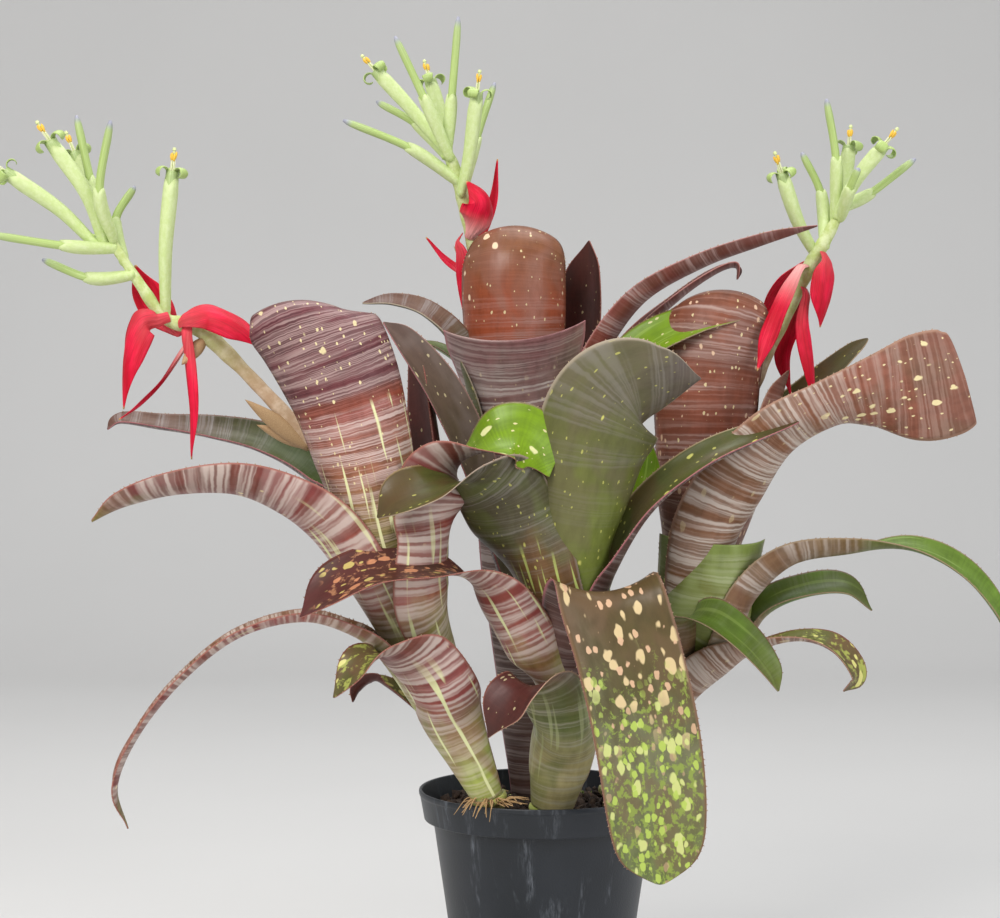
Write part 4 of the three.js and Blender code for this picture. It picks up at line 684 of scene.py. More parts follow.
def leaf_skin(name, base, patch=None, bands=None, lines=0.0, streaks=None, mottle=None, spots=(),
              margin=None, roughness=0.45, pitch=1.9, drift=0.05, sway_size=0.005, cover=0.0,
              strokes_across=330):
    """Bromeliad skin. Base colours lie along the leaf; over them come broad patches, fine wavy cross
    lines that gather in paler bands, lengthwise streaks, mottling, oval spots and a tinted margin.

    base, and each zone, is a list of (reach, colour or strength); patch is (colour, strength); bands is
    (colour, zone, per metre); streaks is (colour, zone); mottle is (colour, zone, per metre, share); each
    of spots is (colour, zone, per metre, size, share). A cross line is noise stretched over the leaf's
    width, at a distance along it which is itself shifted by two noises, and lines is how dark its
    troughs are. pitch is the lines' spacing in mm, cover widens the bands, and strokes_across is how
    many streaks a metre could hold side by side. The relief comes from fibres and cross lines only.
    """
    look = Look(name, roughness, Specular_IOR_Level=0.28)
    cloud = look.noise((30, 55, 1), 2, 0.6)
    wander = look.plus(look.reach, look.smooth(cloud, 0.2, 0.8, -drift, drift))
    colour = look.ramp(wander, base)
    tone = look.noise((70, 160, 1), 3, 0.6, shift=(3, 1, 0))
    colour = look.mix(look.smooth(tone, 0.35, 0.75, 0, 0.5), colour, look.darker(colour, 0.48, 1.1))
    if patch:
        patches = look.noise((26, 34, 1), 2, 0.6, 0.4, shift=(5, 2, 0))
        colour = look.mix(look.times(look.smooth(patches, 0.45, 0.62), patch[1]), colour, patch[0])
    parts = look.node("ShaderNodeSeparateXYZ", [look.place]).outputs
    sway = look.times(look.noise((38, 13, 1), 1, 0.5, shift=(1, 4, 0)), sway_size)
    ragged = look.times(look.noise((250, 210, 1), 1, 0.6, shift=(2, 5, 0)), 0.0011)
    along = look.plus(parts[0], look.plus(sway, ragged))
    bent = look.node("ShaderNodeCombineXYZ", [along, parts[1], 0.0]).outputs[0]
    fine = look.noise((1.6 / (pitch * MM), 14, 1), 1.2, 0.5, place=bent)
    crest = look.smooth(fine, 0.4, 0.6)
    relief = look.times(look.noise((8, 900, 1), 1, 0.5), 0.3)
    rough = look.smooth(tone, 0.3, 0.7, roughness - 0.06, roughness + 0.08)
    fade = look.smooth(look.noise((60, 42, 1), 2, 0.6, shift=(7, 0, 0)), 0.35, 0.65, 0.3, 1)
    if lines:
        trough = look.times(look.math("SUBTRACT", 1.0, crest), look.times(fade, lines * 0.8))
        colour = look.mix(trough, colour, look.darker(colour, 0.32, 0.95))
        relief = look.plus(relief, look.times(crest, 0.3 * lines))
    if bands:
        tint, zone, count = bands
        broad = look.noise((count, count / 26, 1), 2.5, 0.5, 0.25, shift=(2, 9, 0), place=bent)
        band = look.smooth(broad, 0.45 - cover, 0.57 - cover)
        fill = look.math("MULTIPLY_ADD", crest, 0.65, 0.16)
        thin = look.times(look.smooth(fine, 0.5, 0.64), 0.55 * lines)
        shown = look.math("MAXIMUM", look.times(band, fill), look.times(thin, fade))
        shown = look.times(shown, look.ramp(wander, zone))
        colour = look.mix(shown, colour, tint)
        rough = look.plus(rough, look.times(shown, 0.12))
    if streaks:
        tint, zone = streaks
        strokes = look.noise((17, strokes_across, 1), 1.5, 0.4, shift=(4, 4, 0))
        shown = look.times(look.smooth(strokes, 0.59, 0.66), look.ramp(wander, zone))
        colour = look.mix(look.times(shown, 0.92), colour, tint)
    if mottle:
        tint, zone, count, share = mottle
        specks = look.noise((count * 0.8, count, 1), 3, 0.65, 0.3, shift=(6, 6, 0))
        amount = look.ramp(wander, zone)
        shown = look.smooth(look.math("MULTIPLY_ADD", amount, share, specks), 0.57, 0.67)
        shown = look.times(shown, look.smooth(amount, 0, 0.4))
        colour = look.mix(look.times(shown, 0.8), colour, tint)
    for index, (tint, zone, count, size, share) in enumerate(spots):
        distance, first, second = look.cells((count * 0.72, count * 1.15, 1), (index * 3, 2, 0))
        width = look.smooth(second, 0, 1, size * 0.35, size)
        uneven = look.noise((count * 2.2, count * 3, 1), 0, 0.6)
        inside = look.math("SUBTRACT", look.math("MULTIPLY_ADD", uneven, 0.24, -0.12),
                           look.math("SUBTRACT", distance, width))
        shown = look.times(look.smooth(inside, -0.03, 0.05), look.math("LESS_THAN", first, share))
        shown = look.times(shown, look.ramp(wander, zone))
        colour = look.mix(look.times(shown, 0.93), colour, tint)
    if margin:
        colour = look.mix(look.smooth(look.edge, 0.93, 0.99), colour, margin)
    return look.finish(colour, relief, 0.0004, 0.4, rough)


CREAM = (0.78, 0.66, 0.36)
YELLOW = (0.6, 0.58, 0.14)
SILVER = (0.33, 0.3, 0.29)
DOTS_PER_METRE = 360


def dots(zone, tint=CREAM, share=0.3):
    """Scattered tiny dots between the larger spots."""
    return tint, zone, DOTS_PER_METRE, 0.3, share


LEAF_SKINS = {
    "mauve_tube": dict(base=[(0.28, 0.2, 0.24, 0.05), (0.46, 0.28, 0.22, 0.06), (0.56, 0.34, 0.14, 0.07),
        (0.695, 0.36, 0.12, 0.1), (0.703, 0.26, 0.045, 0.02), (0.722, 0.22, 0.045, 0.025),
        (0.731, 0.15, 0.04, 0.045), (0.93, 0.15, 0.035, 0.045), (0.965, 0.14, 0.08, 0.035),
        (1, 0.13, 0.15, 0.03)], bands=((0.62, 0.48, 0.44), [(0.35, 0.4), (0.5, 0.6), (0.6, 0.95),
        (0.695, 0.95), (0.704, 0.1), (0.722, 0.12), (0.733, 0.6), (1, 0.45)], 170), lines=0.75,
        streaks=((0.78, 0.78, 0.42), [(0.25, 0.9), (0.66, 1.0), (0.695, 1.0), (0.71, 0.0)]),
        spots=[(CREAM, [(0.72, 0), (0.75, 1), (0.9, 0.8)], 150, 0.29, 0.5), dots([(0.4, 0.5), (0.72, 1),
        (1, 0.8)], share=0.55)], drift=0.004, pitch=1.35, sway_size=0.003, cover=0.05),
    "red_tube": dict(base=[(0.3, 0.22, 0.1, 0.06), (0.5, 0.24, 0.065, 0.035), (0.8, 0.25, 0.075, 0.04),
        (0.9, 0.22, 0.07, 0.035), (1, 0.2, 0.075, 0.03)], patch=((0.15, 0.05, 0.03), 0.5),
        bands=((0.44, 0.32, 0.28), [(0.3, 0.7), (0.7, 0.6), (0.9, 0.9), (0.95, 0.1)], 110), lines=0.45,
        spots=[((0.7, 0.48, 0.32), [(0.5, 0.8), (0.8, 1)], 190, 0.28, 0.5), dots([(0.3, 0.8), (1, 0.8)])],
        drift=0.02, pitch=2.6),
    "orange_tube": dict(base=[(0.3, 0.3, 0.12, 0.07), (0.6, 0.32, 0.075, 0.035), (0.78, 0.3, 0.065, 0.025),
        (0.88, 0.21, 0.08, 0.035), (1, 0.18, 0.065, 0.028)], patch=((0.24, 0.1, 0.065), 0.6),
        bands=((0.4, 0.25, 0.22), [(0.4, 0.9), (0.62, 0.9), (0.74, 0.5), (0.8, 0.1), (1, 0.03)], 120),
        lines=0.2, spots=[((0.82, 0.62, 0.42), [(0.5, 0.5), (0.7, 1)], 110, 0.27, 0.5), dots([(0.3, 0.6),
        (1, 0.8)], share=0.4)], roughness=0.34, drift=0.02),
    "pink_banded": dict(base=[(0.18, 0.38, 0.44, 0.08), (0.34, 0.32, 0.27, 0.09),
        (0.44, 0.32, 0.075, 0.055), (0.65, 0.2, 0.05, 0.035), (0.88, 0.2, 0.08, 0.06),
        (0.95, 0.16, 0.17, 0.04), (1, 0.2, 0.32, 0.03)], patch=((0.26, 0.045, 0.05), 0.5),
        bands=((0.62, 0.52, 0.46), [(0.1, 0.5), (0.34, 0.7), (0.42, 0.95), (0.9, 0.9), (0.95, 0.1)], 160),
        lines=0.4, streaks=((0.74, 0.76, 0.4), [(0.1, 1.0), (0.5, 1.0), (0.64, 0.0)]), strokes_across=230,
        spots=[(CREAM, [(0.55, 0), (0.65, 0.9)], 150, 0.27, 0.3)], margin=(0.34, 0.13, 0.1), pitch=4.6,
        cover=0.07, sway_size=0.006),
    "silver_banded": dict(base=[(0.15, 0.2, 0.17, 0.07), (0.4, 0.22, 0.1, 0.05), (0.7, 0.24, 0.1, 0.05),
        (0.82, 0.3, 0.1, 0.06), (1, 0.22, 0.08, 0.05)], patch=((0.15, 0.08, 0.04), 0.5),
        bands=((0.56, 0.48, 0.42), [(0.2, 1), (0.72, 1), (0.82, 0.4), (1, 0.15)], 120), lines=0.4,
        spots=[(CREAM, [(0.3, 0.1), (0.74, 0.5), (0.8, 1)], 160, 0.33, 0.5), dots([(0.6, 0),
        (0.8, 0.9)], share=0.5)], margin=(0.34, 0.19, 0.13), pitch=2.6, drift=0.03, sway_size=0.005,
        cover=0.045),
    "violet_silver": dict(base=[(0.3, 0.1, 0.05, 0.035), (0.7, 0.12, 0.06, 0.055),
        (0.86, 0.15, 0.095, 0.09), (1, 0.13, 0.09, 0.085)], patch=((0.11, 0.055, 0.05), 0.5),
        bands=((0.38, 0.32, 0.3), [(0.2, 0.35), (0.7, 0.6), (0.86, 0.75), (0.95, 0.3)], 140), lines=0.55,
        spots=[((0.6, 0.5, 0.36), [(0.66, 0), (0.76, 1), (0.88, 0.8), (0.92, 0)], 140, 0.3, 0.5),
        dots([(0.6, 0), (0.75, 0.9)])], margin=(0.34, 0.12, 0.13), pitch=2.3),
    "silver_collar": dict(base=[(0.3, 0.1, 0.05, 0.035), (0.66, 0.15, 0.065, 0.05),
        (0.78, 0.25, 0.1, 0.085), (0.9, 0.27, 0.16, 0.145), (1, 0.3, 0.13, 0.13)],
        patch=((0.17, 0.1, 0.09), 0.4), bands=((0.62, 0.54, 0.5), [(0.2, 0.3), (0.7, 0.8), (0.86, 0.95),
        (0.95, 0.4)], 170), lines=0.5, spots=[((0.74, 0.62, 0.42), [(0.66, 0), (0.72, 1), (0.9, 0.9),
        (0.94, 0)], 130, 0.33, 0.6), dots([(0.6, 0), (0.75, 0.9), (0.95, 0)], share=0.5)],
        margin=(0.4, 0.16, 0.17), pitch=2.1, sway_size=0.005, cover=0.03),
    "brown_band": dict(base=[(0.3, 0.14, 0.07, 0.04), (0.7, 0.24, 0.06, 0.045), (1, 0.16, 0.055, 0.045)],
        patch=((0.1, 0.045, 0.03), 0.5), bands=((0.42, 0.3, 0.28), [(0.2, 0.8), (0.8, 0.9), (1, 0.3)], 90),
        lines=0.25, margin=(0.4, 0.18, 0.16), pitch=2.4, sway_size=0.005),
    "green_banded": dict(base=[(0.2, 0.3, 0.28, 0.12), (0.45, 0.22, 0.11, 0.06), (0.6, 0.19, 0.12, 0.05),
        (0.7, 0.1, 0.16, 0.02), (1, 0.15, 0.26, 0.03)], bands=((0.52, 0.45, 0.4), [(0.2, 0.95),
        (0.52, 0.9), (0.66, 0.2), (0.72, 0.0)], 90), lines=0.3, streaks=((0.34, 0.46, 0.14), [(0.6, 0.0),
        (0.75, 0.3)]), margin=(0.28, 0.2, 0.12), pitch=3.4),
    "green": dict(base=[(0.2, 0.22, 0.25, 0.06), (0.5, 0.08, 0.12, 0.014), (0.8, 0.1, 0.17, 0.018),
        (1, 0.13, 0.15, 0.03)], patch=((0.055, 0.07, 0.014), 0.5), bands=(SILVER, [(0.1, 0.5), (0.5, 0.3),
        (0.7, 0.1)], 90), lines=0.12, streaks=((0.22, 0.3, 0.07), [(0.3, 0.4), (1, 0.3)]),
        margin=(0.16, 0.09, 0.06), roughness=0.38),
    "purple_tip": dict(base=[(0.3, 0.11, 0.14, 0.025), (0.6, 0.06, 0.09, 0.014), (0.76, 0.09, 0.08, 0.03),
        (0.86, 0.16, 0.09, 0.06), (1, 0.12, 0.05, 0.035)], bands=(SILVER, [(0.6, 0.1), (0.8, 0.8),
        (1, 0.5)], 120), lines=0.2, margin=(0.17, 0.08, 0.05), drift=0.03),
    "silver_green": dict(base=[(0.2, 0.3, 0.34, 0.1), (0.55, 0.2, 0.24, 0.05), (0.8, 0.16, 0.17, 0.035),
        (1, 0.2, 0.26, 0.06)], patch=((0.28, 0.34, 0.12), 0.7), bands=((0.4, 0.42, 0.26), [(0.1, 0.9),
        (0.6, 0.7), (1, 0.6)], 60), lines=0.12, spots=[((0.6, 0.58, 0.2), [(0.2, 1),
        (1, 1)], 130, 0.22, 0.4)], margin=(0.42, 0.4, 0.22), roughness=0.42, pitch=3.0),
    "bright_green": dict(base=[(0.3, 0.2, 0.26, 0.04), (0.6, 0.13, 0.22, 0.008), (1, 0.18, 0.3, 0.01)],
        patch=((0.07, 0.14, 0.006), 0.6), streaks=((0.34, 0.48, 0.08), [(0, 0.3), (1, 0.3)]),
        spots=[((0.72, 0.74, 0.38), [(0.5, 0.9), (1, 1)], 100, 0.3, 0.45), dots([(0.3, 0.5),
        (1, 0.7)], share=0.45)], margin=(0.16, 0.12, 0.05), roughness=0.34),
    "turned_green": dict(base=[(0.3, 0.2, 0.16, 0.06), (0.62, 0.17, 0.1, 0.05), (0.7, 0.12, 0.13, 0.02),
        (0.76, 0.15, 0.25, 0.008), (1, 0.2, 0.34, 0.01)], bands=((0.58, 0.46, 0.42), [(0.3, 0.9),
        (0.62, 0.85), (0.7, 0.2), (0.74, 0)], 150), lines=0.4, streaks=((0.5, 0.52, 0.2), [(0.2, 0.9),
        (0.6, 0.7), (0.7, 0)]), spots=[((0.74, 0.72, 0.36), [(0.45, 0.7), (1, 1)], 115, 0.32, 0.5),
        dots([(0.45, 0.6), (1, 0.8)], share=0.5)], margin=(0.16, 0.12, 0.05), roughness=0.34, pitch=2.8,
        drift=0.03),
    "grey_olive": dict(base=[(0.2, 0.3, 0.36, 0.09), (0.45, 0.18, 0.22, 0.04), (0.62, 0.14, 0.16, 0.03),
        (0.78, 0.11, 0.11, 0.035), (0.9, 0.12, 0.1, 0.06), (1, 0.1, 0.075, 0.07)],
        patch=((0.13, 0.1, 0.06), 0.5), bands=((0.22, 0.2, 0.17), [(0.1, 0.1), (0.6, 0.15), (0.85, 0.6)],
        90), lines=0.05, spots=[(YELLOW, [(0.2, 0.9), (0.8, 0.9)], 120, 0.24, 0.35), dots([(0.2, 0.7),
        (1, 0.5)], YELLOW, share=0.4)], margin=(0.36, 0.3, 0.22), pitch=2.6, sway_size=0.005),
    "violet_olive": dict(base=[(0.2, 0.3, 0.34, 0.1), (0.36, 0.2, 0.24, 0.05), (0.44, 0.19, 0.1, 0.035),
        (0.54, 0.15, 0.075, 0.03), (0.62, 0.09, 0.075, 0.035), (1, 0.085, 0.075, 0.055)],
        patch=((0.13, 0.16, 0.04), 0.5), bands=((0.26, 0.24, 0.21), [(0.1, 0.2), (0.56, 0.35), (0.7, 0.6),
        (1, 0.45)], 190), lines=0.3, streaks=((0.5, 0.58, 0.16), [(0.2, 1), (0.5, 1), (0.58, 0)]),
        spots=[(YELLOW, [(0.3, 0.9), (0.8, 0.6)], 130, 0.22, 0.4), dots([(0.2, 0.7),
        (1, 0.5)], YELLOW, share=0.4)], margin=(0.34, 0.26, 0.2), pitch=1.8, sway_size=0.005),
    "pale_sheath": dict(base=[(0.2, 0.42, 0.36, 0.16), (0.36, 0.34, 0.32, 0.14), (0.48, 0.17, 0.19, 0.06),
        (0.6, 0.17, 0.15, 0.06), (0.7, 0.2, 0.11, 0.07), (0.8, 0.17, 0.055, 0.045),
        (1, 0.09, 0.028, 0.023)], patch=((0.13, 0.17, 0.04), 0.5), bands=((0.4, 0.37, 0.28), [(0.1, 0.7),
        (0.6, 0.9), (0.75, 0.2)], 240), lines=0.4, streaks=((0.5, 0.54, 0.26), [(0.1, 0.5), (0.5, 0.5),
        (0.65, 0)]), margin=(0.48, 0.32, 0.22), pitch=2.8, sway_size=0.006),
    "olive_spotted": dict(base=[(0.3, 0.12, 0.07, 0.035), (0.5, 0.1, 0.065, 0.025),
        (0.66, 0.1, 0.085, 0.03), (0.78, 0.17, 0.17, 0.09), (1, 0.13, 0.16, 0.05)],
        patch=((0.17, 0.1, 0.055), 0.45), mottle=((0.26, 0.34, 0.06), [(0.6, 0.0), (0.74, 0.8), (1, 1)],
        260, 0.09), spots=[((0.68, 0.52, 0.28), [(0.2, 1), (0.68, 1), (0.8, 0)], 118, 0.4, 0.8),
        ((0.66, 0.42, 0.26), [(0.2, 1), (0.66, 1), (0.8, 0.4)], 190, 0.42, 0.5),
        ((0.58, 0.62, 0.22), [(0.6, 0), (0.7, 1), (1, 1)], 130, 0.44, 0.62), ((0.42, 0.54, 0.1), [(0.6, 0),
        (0.72, 1), (1, 1)], 210, 0.46, 0.7)], margin=(0.2, 0.11, 0.06), roughness=0.4, drift=0.06),
    "maroon_spotted": dict(base=[(0.2, 0.2, 0.07, 0.05), (0.5, 0.12, 0.03, 0.022),
        (0.8, 0.085, 0.027, 0.02), (1, 0.12, 0.03, 0.03)], patch=((0.06, 0.03, 0.018), 0.6),
        mottle=((0.42, 0.2, 0.1), [(0.5, 0.3), (0.62, 1), (0.88, 1), (0.94, 0)], 230, 0.035),
        spots=[((0.6, 0.26, 0.13), [(0.4, 0.9), (0.93, 0.9), (0.97, 0)], 150, 0.46, 0.6),
        ((0.6, 0.48, 0.15), [(0.4, 0.9), (0.93, 0.9), (0.97, 0)], 190, 0.46, 0.5)],
        margin=(0.16, 0.05, 0.04), roughness=0.38),
    "dark_red": dict(base=[(0.2, 0.14, 0.06, 0.04), (0.6, 0.1, 0.024, 0.02), (1, 0.08, 0.025, 0.02)],
        patch=((0.05, 0.022, 0.018), 0.6), lines=0.15, spots=[((0.62, 0.42, 0.26), [(0.5, 0.4),
        (1, 0.8)], 120, 0.24, 0.35), dots([(0.4, 0.4), (1, 0.6)])], margin=(0.24, 0.08, 0.06),
        roughness=0.4),
    "dark_olive": dict(base=[(0.2, 0.16, 0.17, 0.05), (0.6, 0.075, 0.085, 0.015),
        (0.85, 0.075, 0.08, 0.018), (1, 0.085, 0.06, 0.025)], patch=((0.1, 0.05, 0.02), 0.5), lines=0.08,
        spots=[(YELLOW, [(0.3, 0.8), (1, 0.9)], 130, 0.22, 0.35), dots([(0.3, 0.6), (1, 0.6)], YELLOW)],
        margin=(0.28, 0.2, 0.1), roughness=0.36),
    "brown_olive": dict(base=[(0.3, 0.12, 0.1, 0.045), (0.7, 0.13, 0.09, 0.055), (1, 0.12, 0.07, 0.055)],
        patch=((0.2, 0.15, 0.13), 0.5), lines=0.08, spots=[(CREAM, [(0.3, 0.8), (1, 0.9)], 130, 0.2, 0.25),
        dots([(0.3, 0.6), (1, 0.6)])], margin=(0.34, 0.2, 0.17), roughness=0.4),
    "spotted_green": dict(base=[(0.3, 0.2, 0.2, 0.06), (0.7, 0.15, 0.16, 0.04), (1, 0.1, 0.08, 0.03)],
        patch=((0.17, 0.07, 0.05), 0.5), mottle=((0.42, 0.46, 0.1), [(0.3, 0.5), (1, 0.5)], 180, 0.12),
        spots=[((0.7, 0.66, 0.22), [(0.3, 1), (1, 1)], 170, 0.42, 0.6)], margin=(0.24, 0.06, 0.05)),
}
SKINS = {key: leaf_skin(f"{key}_skin", **told) for key, told in LEAF_SKINS.items()}


def placed(piece, node):
    """Rides the piece on the plant's one body in the place of the named solid."""
    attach(piece, "root")
    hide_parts(node)


# Leaves
BLUNT = {"left_tube_leaf": 5.0, "rear_tube_leaf": 5.0, "right_tube_leaf": 4.0, "front_strap_leaf": 3.0,
         "rear_green_leaf": 3.0, "right_banded_leaf": 4.0}
tooth = Look("leaf_tooth", 0.5, "object")
TOOTH_SKIN = tooth.finish(tooth.mix(tooth.noise((300, 300, 300)), (0.3, 0.16, 0.1), (0.5, 0.36, 0.22)), None)

for number, (leaf, (*sheath, tip_share, front, back, leaf_slot, free_rows)) in enumerate(LEAVES.items()):
    leaf_shape = Shape()
    leaf_rows = full_rows(ROSETTES[leaf.split("_")[0]], *sheath, free_rows)
    add_blade(leaf_shape, leaf_rows, tip_share, BLUNT.get(leaf, 2.0), number)
    placed(leaf_shape.make(f"{leaf}_skin", [SKINS[front], SKINS[back], TOOTH_SKIN]), leaf)


# Stems and roots
def stem_rings(rosette):
    """Radii and heights of a stem, from its root up: neck, collar, a terrace for each sheath, tip."""
    rings = []
    for layer in range(rosette["layers"]):
        start = sheath_start(rosette, layer)
        edge = sheath_radius(rosette, layer, start)
        rings += [(edge + 0.7, start - 0.35), (max(0.95 * edge - 0.8, CORE_RADIUS), start - 0.35)]
    widest, lowest = rings[0]
    inner, highest = rings[-1]
    low = [(CORE_RADIUS + 1, -24.0), (rosette["radius"] * 0.62, -6.0), (widest, lowest - 3.0)]
    return low + rings + [(inner * 0.8, highest + 4.0)]


def smooth_steps(rings, steps=4):
    """Profile with its corners softened: points between neighbours, averaged with the ones beside them."""
    rings = np.array(rings, float)
    at = np.linspace(0, len(rings) - 1, (len(rings) - 1) * steps + 1)
    dense = np.stack([np.interp(at, np.arange(len(rings)), rings[:, k]) for k in range(2)], -1)
    soft = dense.copy()
    soft[1:-1] = (dense[:-2] + dense[1:-1] + dense[2:]) / 3
    return soft


def add_stem(shape, rosette):
    """Stem of a rosette: its profile turned round the leaning axis."""
    axis = unit(rosette["lean"])
    rings = smooth_steps(stem_rings(rosette))
    centres = np.array(rosette["foot"]) + axis * rings[:, 1:]
    t = np.linspace(0, ROUND, 28, endpoint=False)
    wave = 1 + 0.025 * np.sin(5 * t[None] + rings[:, 1:] * 0.9)
    tube(shape, centres, np.repeat(axis[None], len(rings), 0), rings[:, 0], 28, 0, squash=wave)


def add_roots(shape, rosette, count, first, spread, rng):
    """Wiry roots: out from below the sheaths, over the pot's rim, and down outside it where clear."""
    axis = unit(rosette["lean"])
    hub = np.array(rosette["foot"]) - 5.5 * axis
    for k in range(count):
        angle = math.radians(first + spread * k / (count - 1) + rng.uniform(-3, 3))
        outward = square_to(level(angle), axis)
        side = np.cross(axis, outward)
        over = hub + outward * rng.uniform(9, 17) + side * rng.uniform(-2, 2)
        over[2] = max(over[2], POT_HEIGHT + rng.uniform(1.5, 5))
        end = over + outward * rng.uniform(3, 9) + side * rng.uniform(-3, 3)
        end[2] = over[2] - rng.uniform(0, 2)
        if math.hypot(end[0], end[1]) > POT_RIM_RADIUS + 2.5:
            end[2] -= rng.uniform(2, 8)
        else:
            end[2] = max(end[2], POT_HEIGHT + 1)
        radius = rng.uniform(0.3, 0.62)
        start = hub + outward * 5
        middle = (start + over) / 2 + side * rng.uniform(-1.5, 1.5) + axis * rng.uniform(-0.5, 1)
        rows = [[*start, radius * 1.3], [*middle, radius], [*over, radius], [*end, radius * 0.45]]
        rod(shape, rows, 16, 6, 1)


# Flower parts
def scape_rows(name):
    """Rows of place and radius of a scape: two up the rosette's axis from its stem, then its own."""
    rosette = ROSETTES[name]
    axis = unit(rosette["lean"])
    top = stem_rings(rosette)[-1][1] + 0.35
    foot = [[*(np.array(rosette["foot"]) + axis * height), radius]
            for height, radius in ((top, 2.6), (top + 60, 3.6))]
    return np.array([*foot, *SPIKES[name]["scape"]], float)


def spot_on(rows, target, depth):
    """Point `depth` under a rod's surface, on the side of the target, and the way outwards there."""
    at = np.arange(0, len(rows) - 1 + 1e-6, 0.05)
    line = curve(rows, at)
    best = line[np.argmin(np.linalg.norm(line[:, :3] - target, axis=1))]
    outward = unit(np.asarray(target, float) - best[:3])
    return best[:3] + outward * (best[3] - depth), outward


def turned_shell(shape, path, profile, ends, number, lobes=0.0, sides=18, steps=26, spare=0.0):
    """Closed shell round a path: radius by the profile at the share s of the way, s from ends[0] to
    ends[1] + lobes (|cos 1.5 t| - 0.5), with three shallow grooves along it.
    """
    t = np.linspace(0, ROUND, sides, endpoint=False)
    part = np.linspace(0, 1, steps)
    stop = ends[1] + lobes * (np.abs(np.cos(1.5 * t)) - 0.5)
    share = ends[0] + part[:, None] * (stop[None] - ends[0])
    at = np.clip(share, 0, 1) * (len(path) - 1)
    fine = np.linspace(0, len(path) - 1, 80)
    line = curve(path, fine)[:, :3]
    middle, u, v = (np.stack([np.interp(at, fine, table[:, k]) for k in range(3)], -1)
                    for table in (line, *carried_frames(tangents(path, fine))))
    radius = np.interp(part, *zip(*profile))[:, None] * (1 - 0.05 * np.cos(3 * t)[None])
    spokes = np.cos(t)[None, :, None] * u + np.sin(t)[None, :, None] * v
    points = middle + radius[..., None] * spokes
    uv = np.stack(np.broadcast_arrays(share * arc_lengths(line)[-1] * MM, (t / ROUND)[None] * RING_UV), -1)
    tags = np.stack(np.broadcast_arrays(0.0 * share, part[:, None], spare), -1)
    shape.add_rings(points, points[[0, -1]].mean(1), uv, tags, number)


def add_sheet(shape, middle, normals, thickness, t, w, length, half, number):
    """Closed thin sheet on both sides of a grid of points, at shares t of the length and w of the width."""
    uv = np.stack(np.broadcast_arrays(t[:, None] * length * MM, w[None] * half[:, None] * MM), -1)
    tags = np.stack(np.broadcast_arrays(np.abs(w)[None], t[:, None], 0.0), -1)
    offset = thickness / 2 * normals
    shape.add_plate(middle - offset, middle + offset, uv, tags, (number, number))


def petal(shape, mouth, along, outward, rng):
    """Petal rolled back on itself: centre + ray r, ray turning from inward through the flower's way."""
    side = np.cross(along, outward)
    roll = math.radians(rng.uniform(235, 300))
    radius = rng.uniform(3.2, 4.1)
    t = np.linspace(0, 1, 26)
    w = np.linspace(-1, 1, 9)
    angle = roll * t
    ray = -np.cos(angle)[:, None] * outward + np.sin(angle)[:, None] * along
    middle = mouth + outward * (radius + 2.2) + ray * (radius * (1 - 0.34 * t))[:, None]
    half = np.interp(t, [0, 0.2, 0.55, 0.85, 1], [1.8, 2.6, 3.3, 2.6, 0.6])
    camber = 0.5 * np.sin(math.pi * t)
    points = middle[:, None] + side * (w[None, :, None] * half[:, None, None])
    points = points - ray[:, None] * (camber[:, None] * w[None] ** 2)[..., None]
    add_sheet(shape, points, ray[:, None], 0.35, t, w, radius * roll, half, PETAL)


def stamens(shape, mouth, along, rng, length):
    """Six filaments with long anthers, and a style with a knobbed stigma that reaches past them."""
    (u,), (v,) = carried_frames(along[None])
    for k in range(6):
        turn = ROUND * k / 6 + rng.uniform(-0.3, 0.3)
        lean = math.cos(turn) * u + math.sin(turn) * v
        start = mouth - along * 3 + lean * 0.8
        end = mouth + along * (length - 5.0 + rng.uniform(-0.7, 0.7)) + lean * rng.uniform(0.7, 1.2)
        rod(shape, [[*start, 0.34], [*((start + end) / 2 + lean * 0.1), 0.3], [*end, 0.26]], 8, 6, FILAMENT)
        way = unit(along + 0.12 * lean)
        tip = end + way * 3.4
        rod(shape, [[*(end - way * 0.6), 0.35], [*((end + tip) / 2), 0.75], [*tip, 0.3]], 7, 7, ANTHER)
    style = ((-3, 0.6), (length - 2, 0.6), (length - 0.3, 1.15), (length + 1.2, 0.75))
    rod(shape, [[*(mouth + along * far), radius] for far, radius in style], 22, 10, STIGMA)


def pointed_scale(shape, root, along, outward, length, width, lift, number):
    """Small pointed scale: width by the sine of the way, lifted off by the way squared."""
    side = np.cross(along, outward)
    t = np.linspace(0, 1, 12)
    w = np.linspace(-1, 1, 7)
    half = width / 2 * np.sin(math.pi * (0.12 + 0.88 * t)) ** 0.8 * (1 - 0.3 * t)
    spine = root + along * (t * length)[:, None] + outward * (lift * t ** 2)[:, None]
    points = spine[:, None] + side * (w[None] * half[:, None])[..., None]
    points = points - outward * (0.25 * width * (w[None] ** 2) * (1 - 0.5 * t[:, None]))[..., None]
    add_sheet(shape, points, -outward, 0.4, t, w, length, half, number)


# Profiles of calyx and petals for a closed and an open flower: share of the way and radius
CALYX = [(0, 1.3), (0.1, 1.9), (0.24, 2.7), (0.36, 2.5), (0.6, 3.3), (0.85, 3.8), (0.95, 3.6), (1, 3.0)]
OPEN_CALYX = [(0, 1.2), (0.12, 1.6), (0.26, 2.5), (0.4, 2.9), (0.6, 3.5), (0.85, 4.2), (0.96, 4.2), (1, 3.8)]
PETALS = [(0, 2.4), (0.4, 2.3), (0.62, 2.2), (0.82, 2.25), (0.93, 1.9), (0.98, 1.3), (1, 0.7)]
OPEN_PETALS = [(0, 3.0), (0.6, 3.5), (0.9, 3.7), (1, 3.5)]
SCAPE, SEPAL, PETAL, STRAW, FILAMENT, ANTHER, STIGMA = range(7)
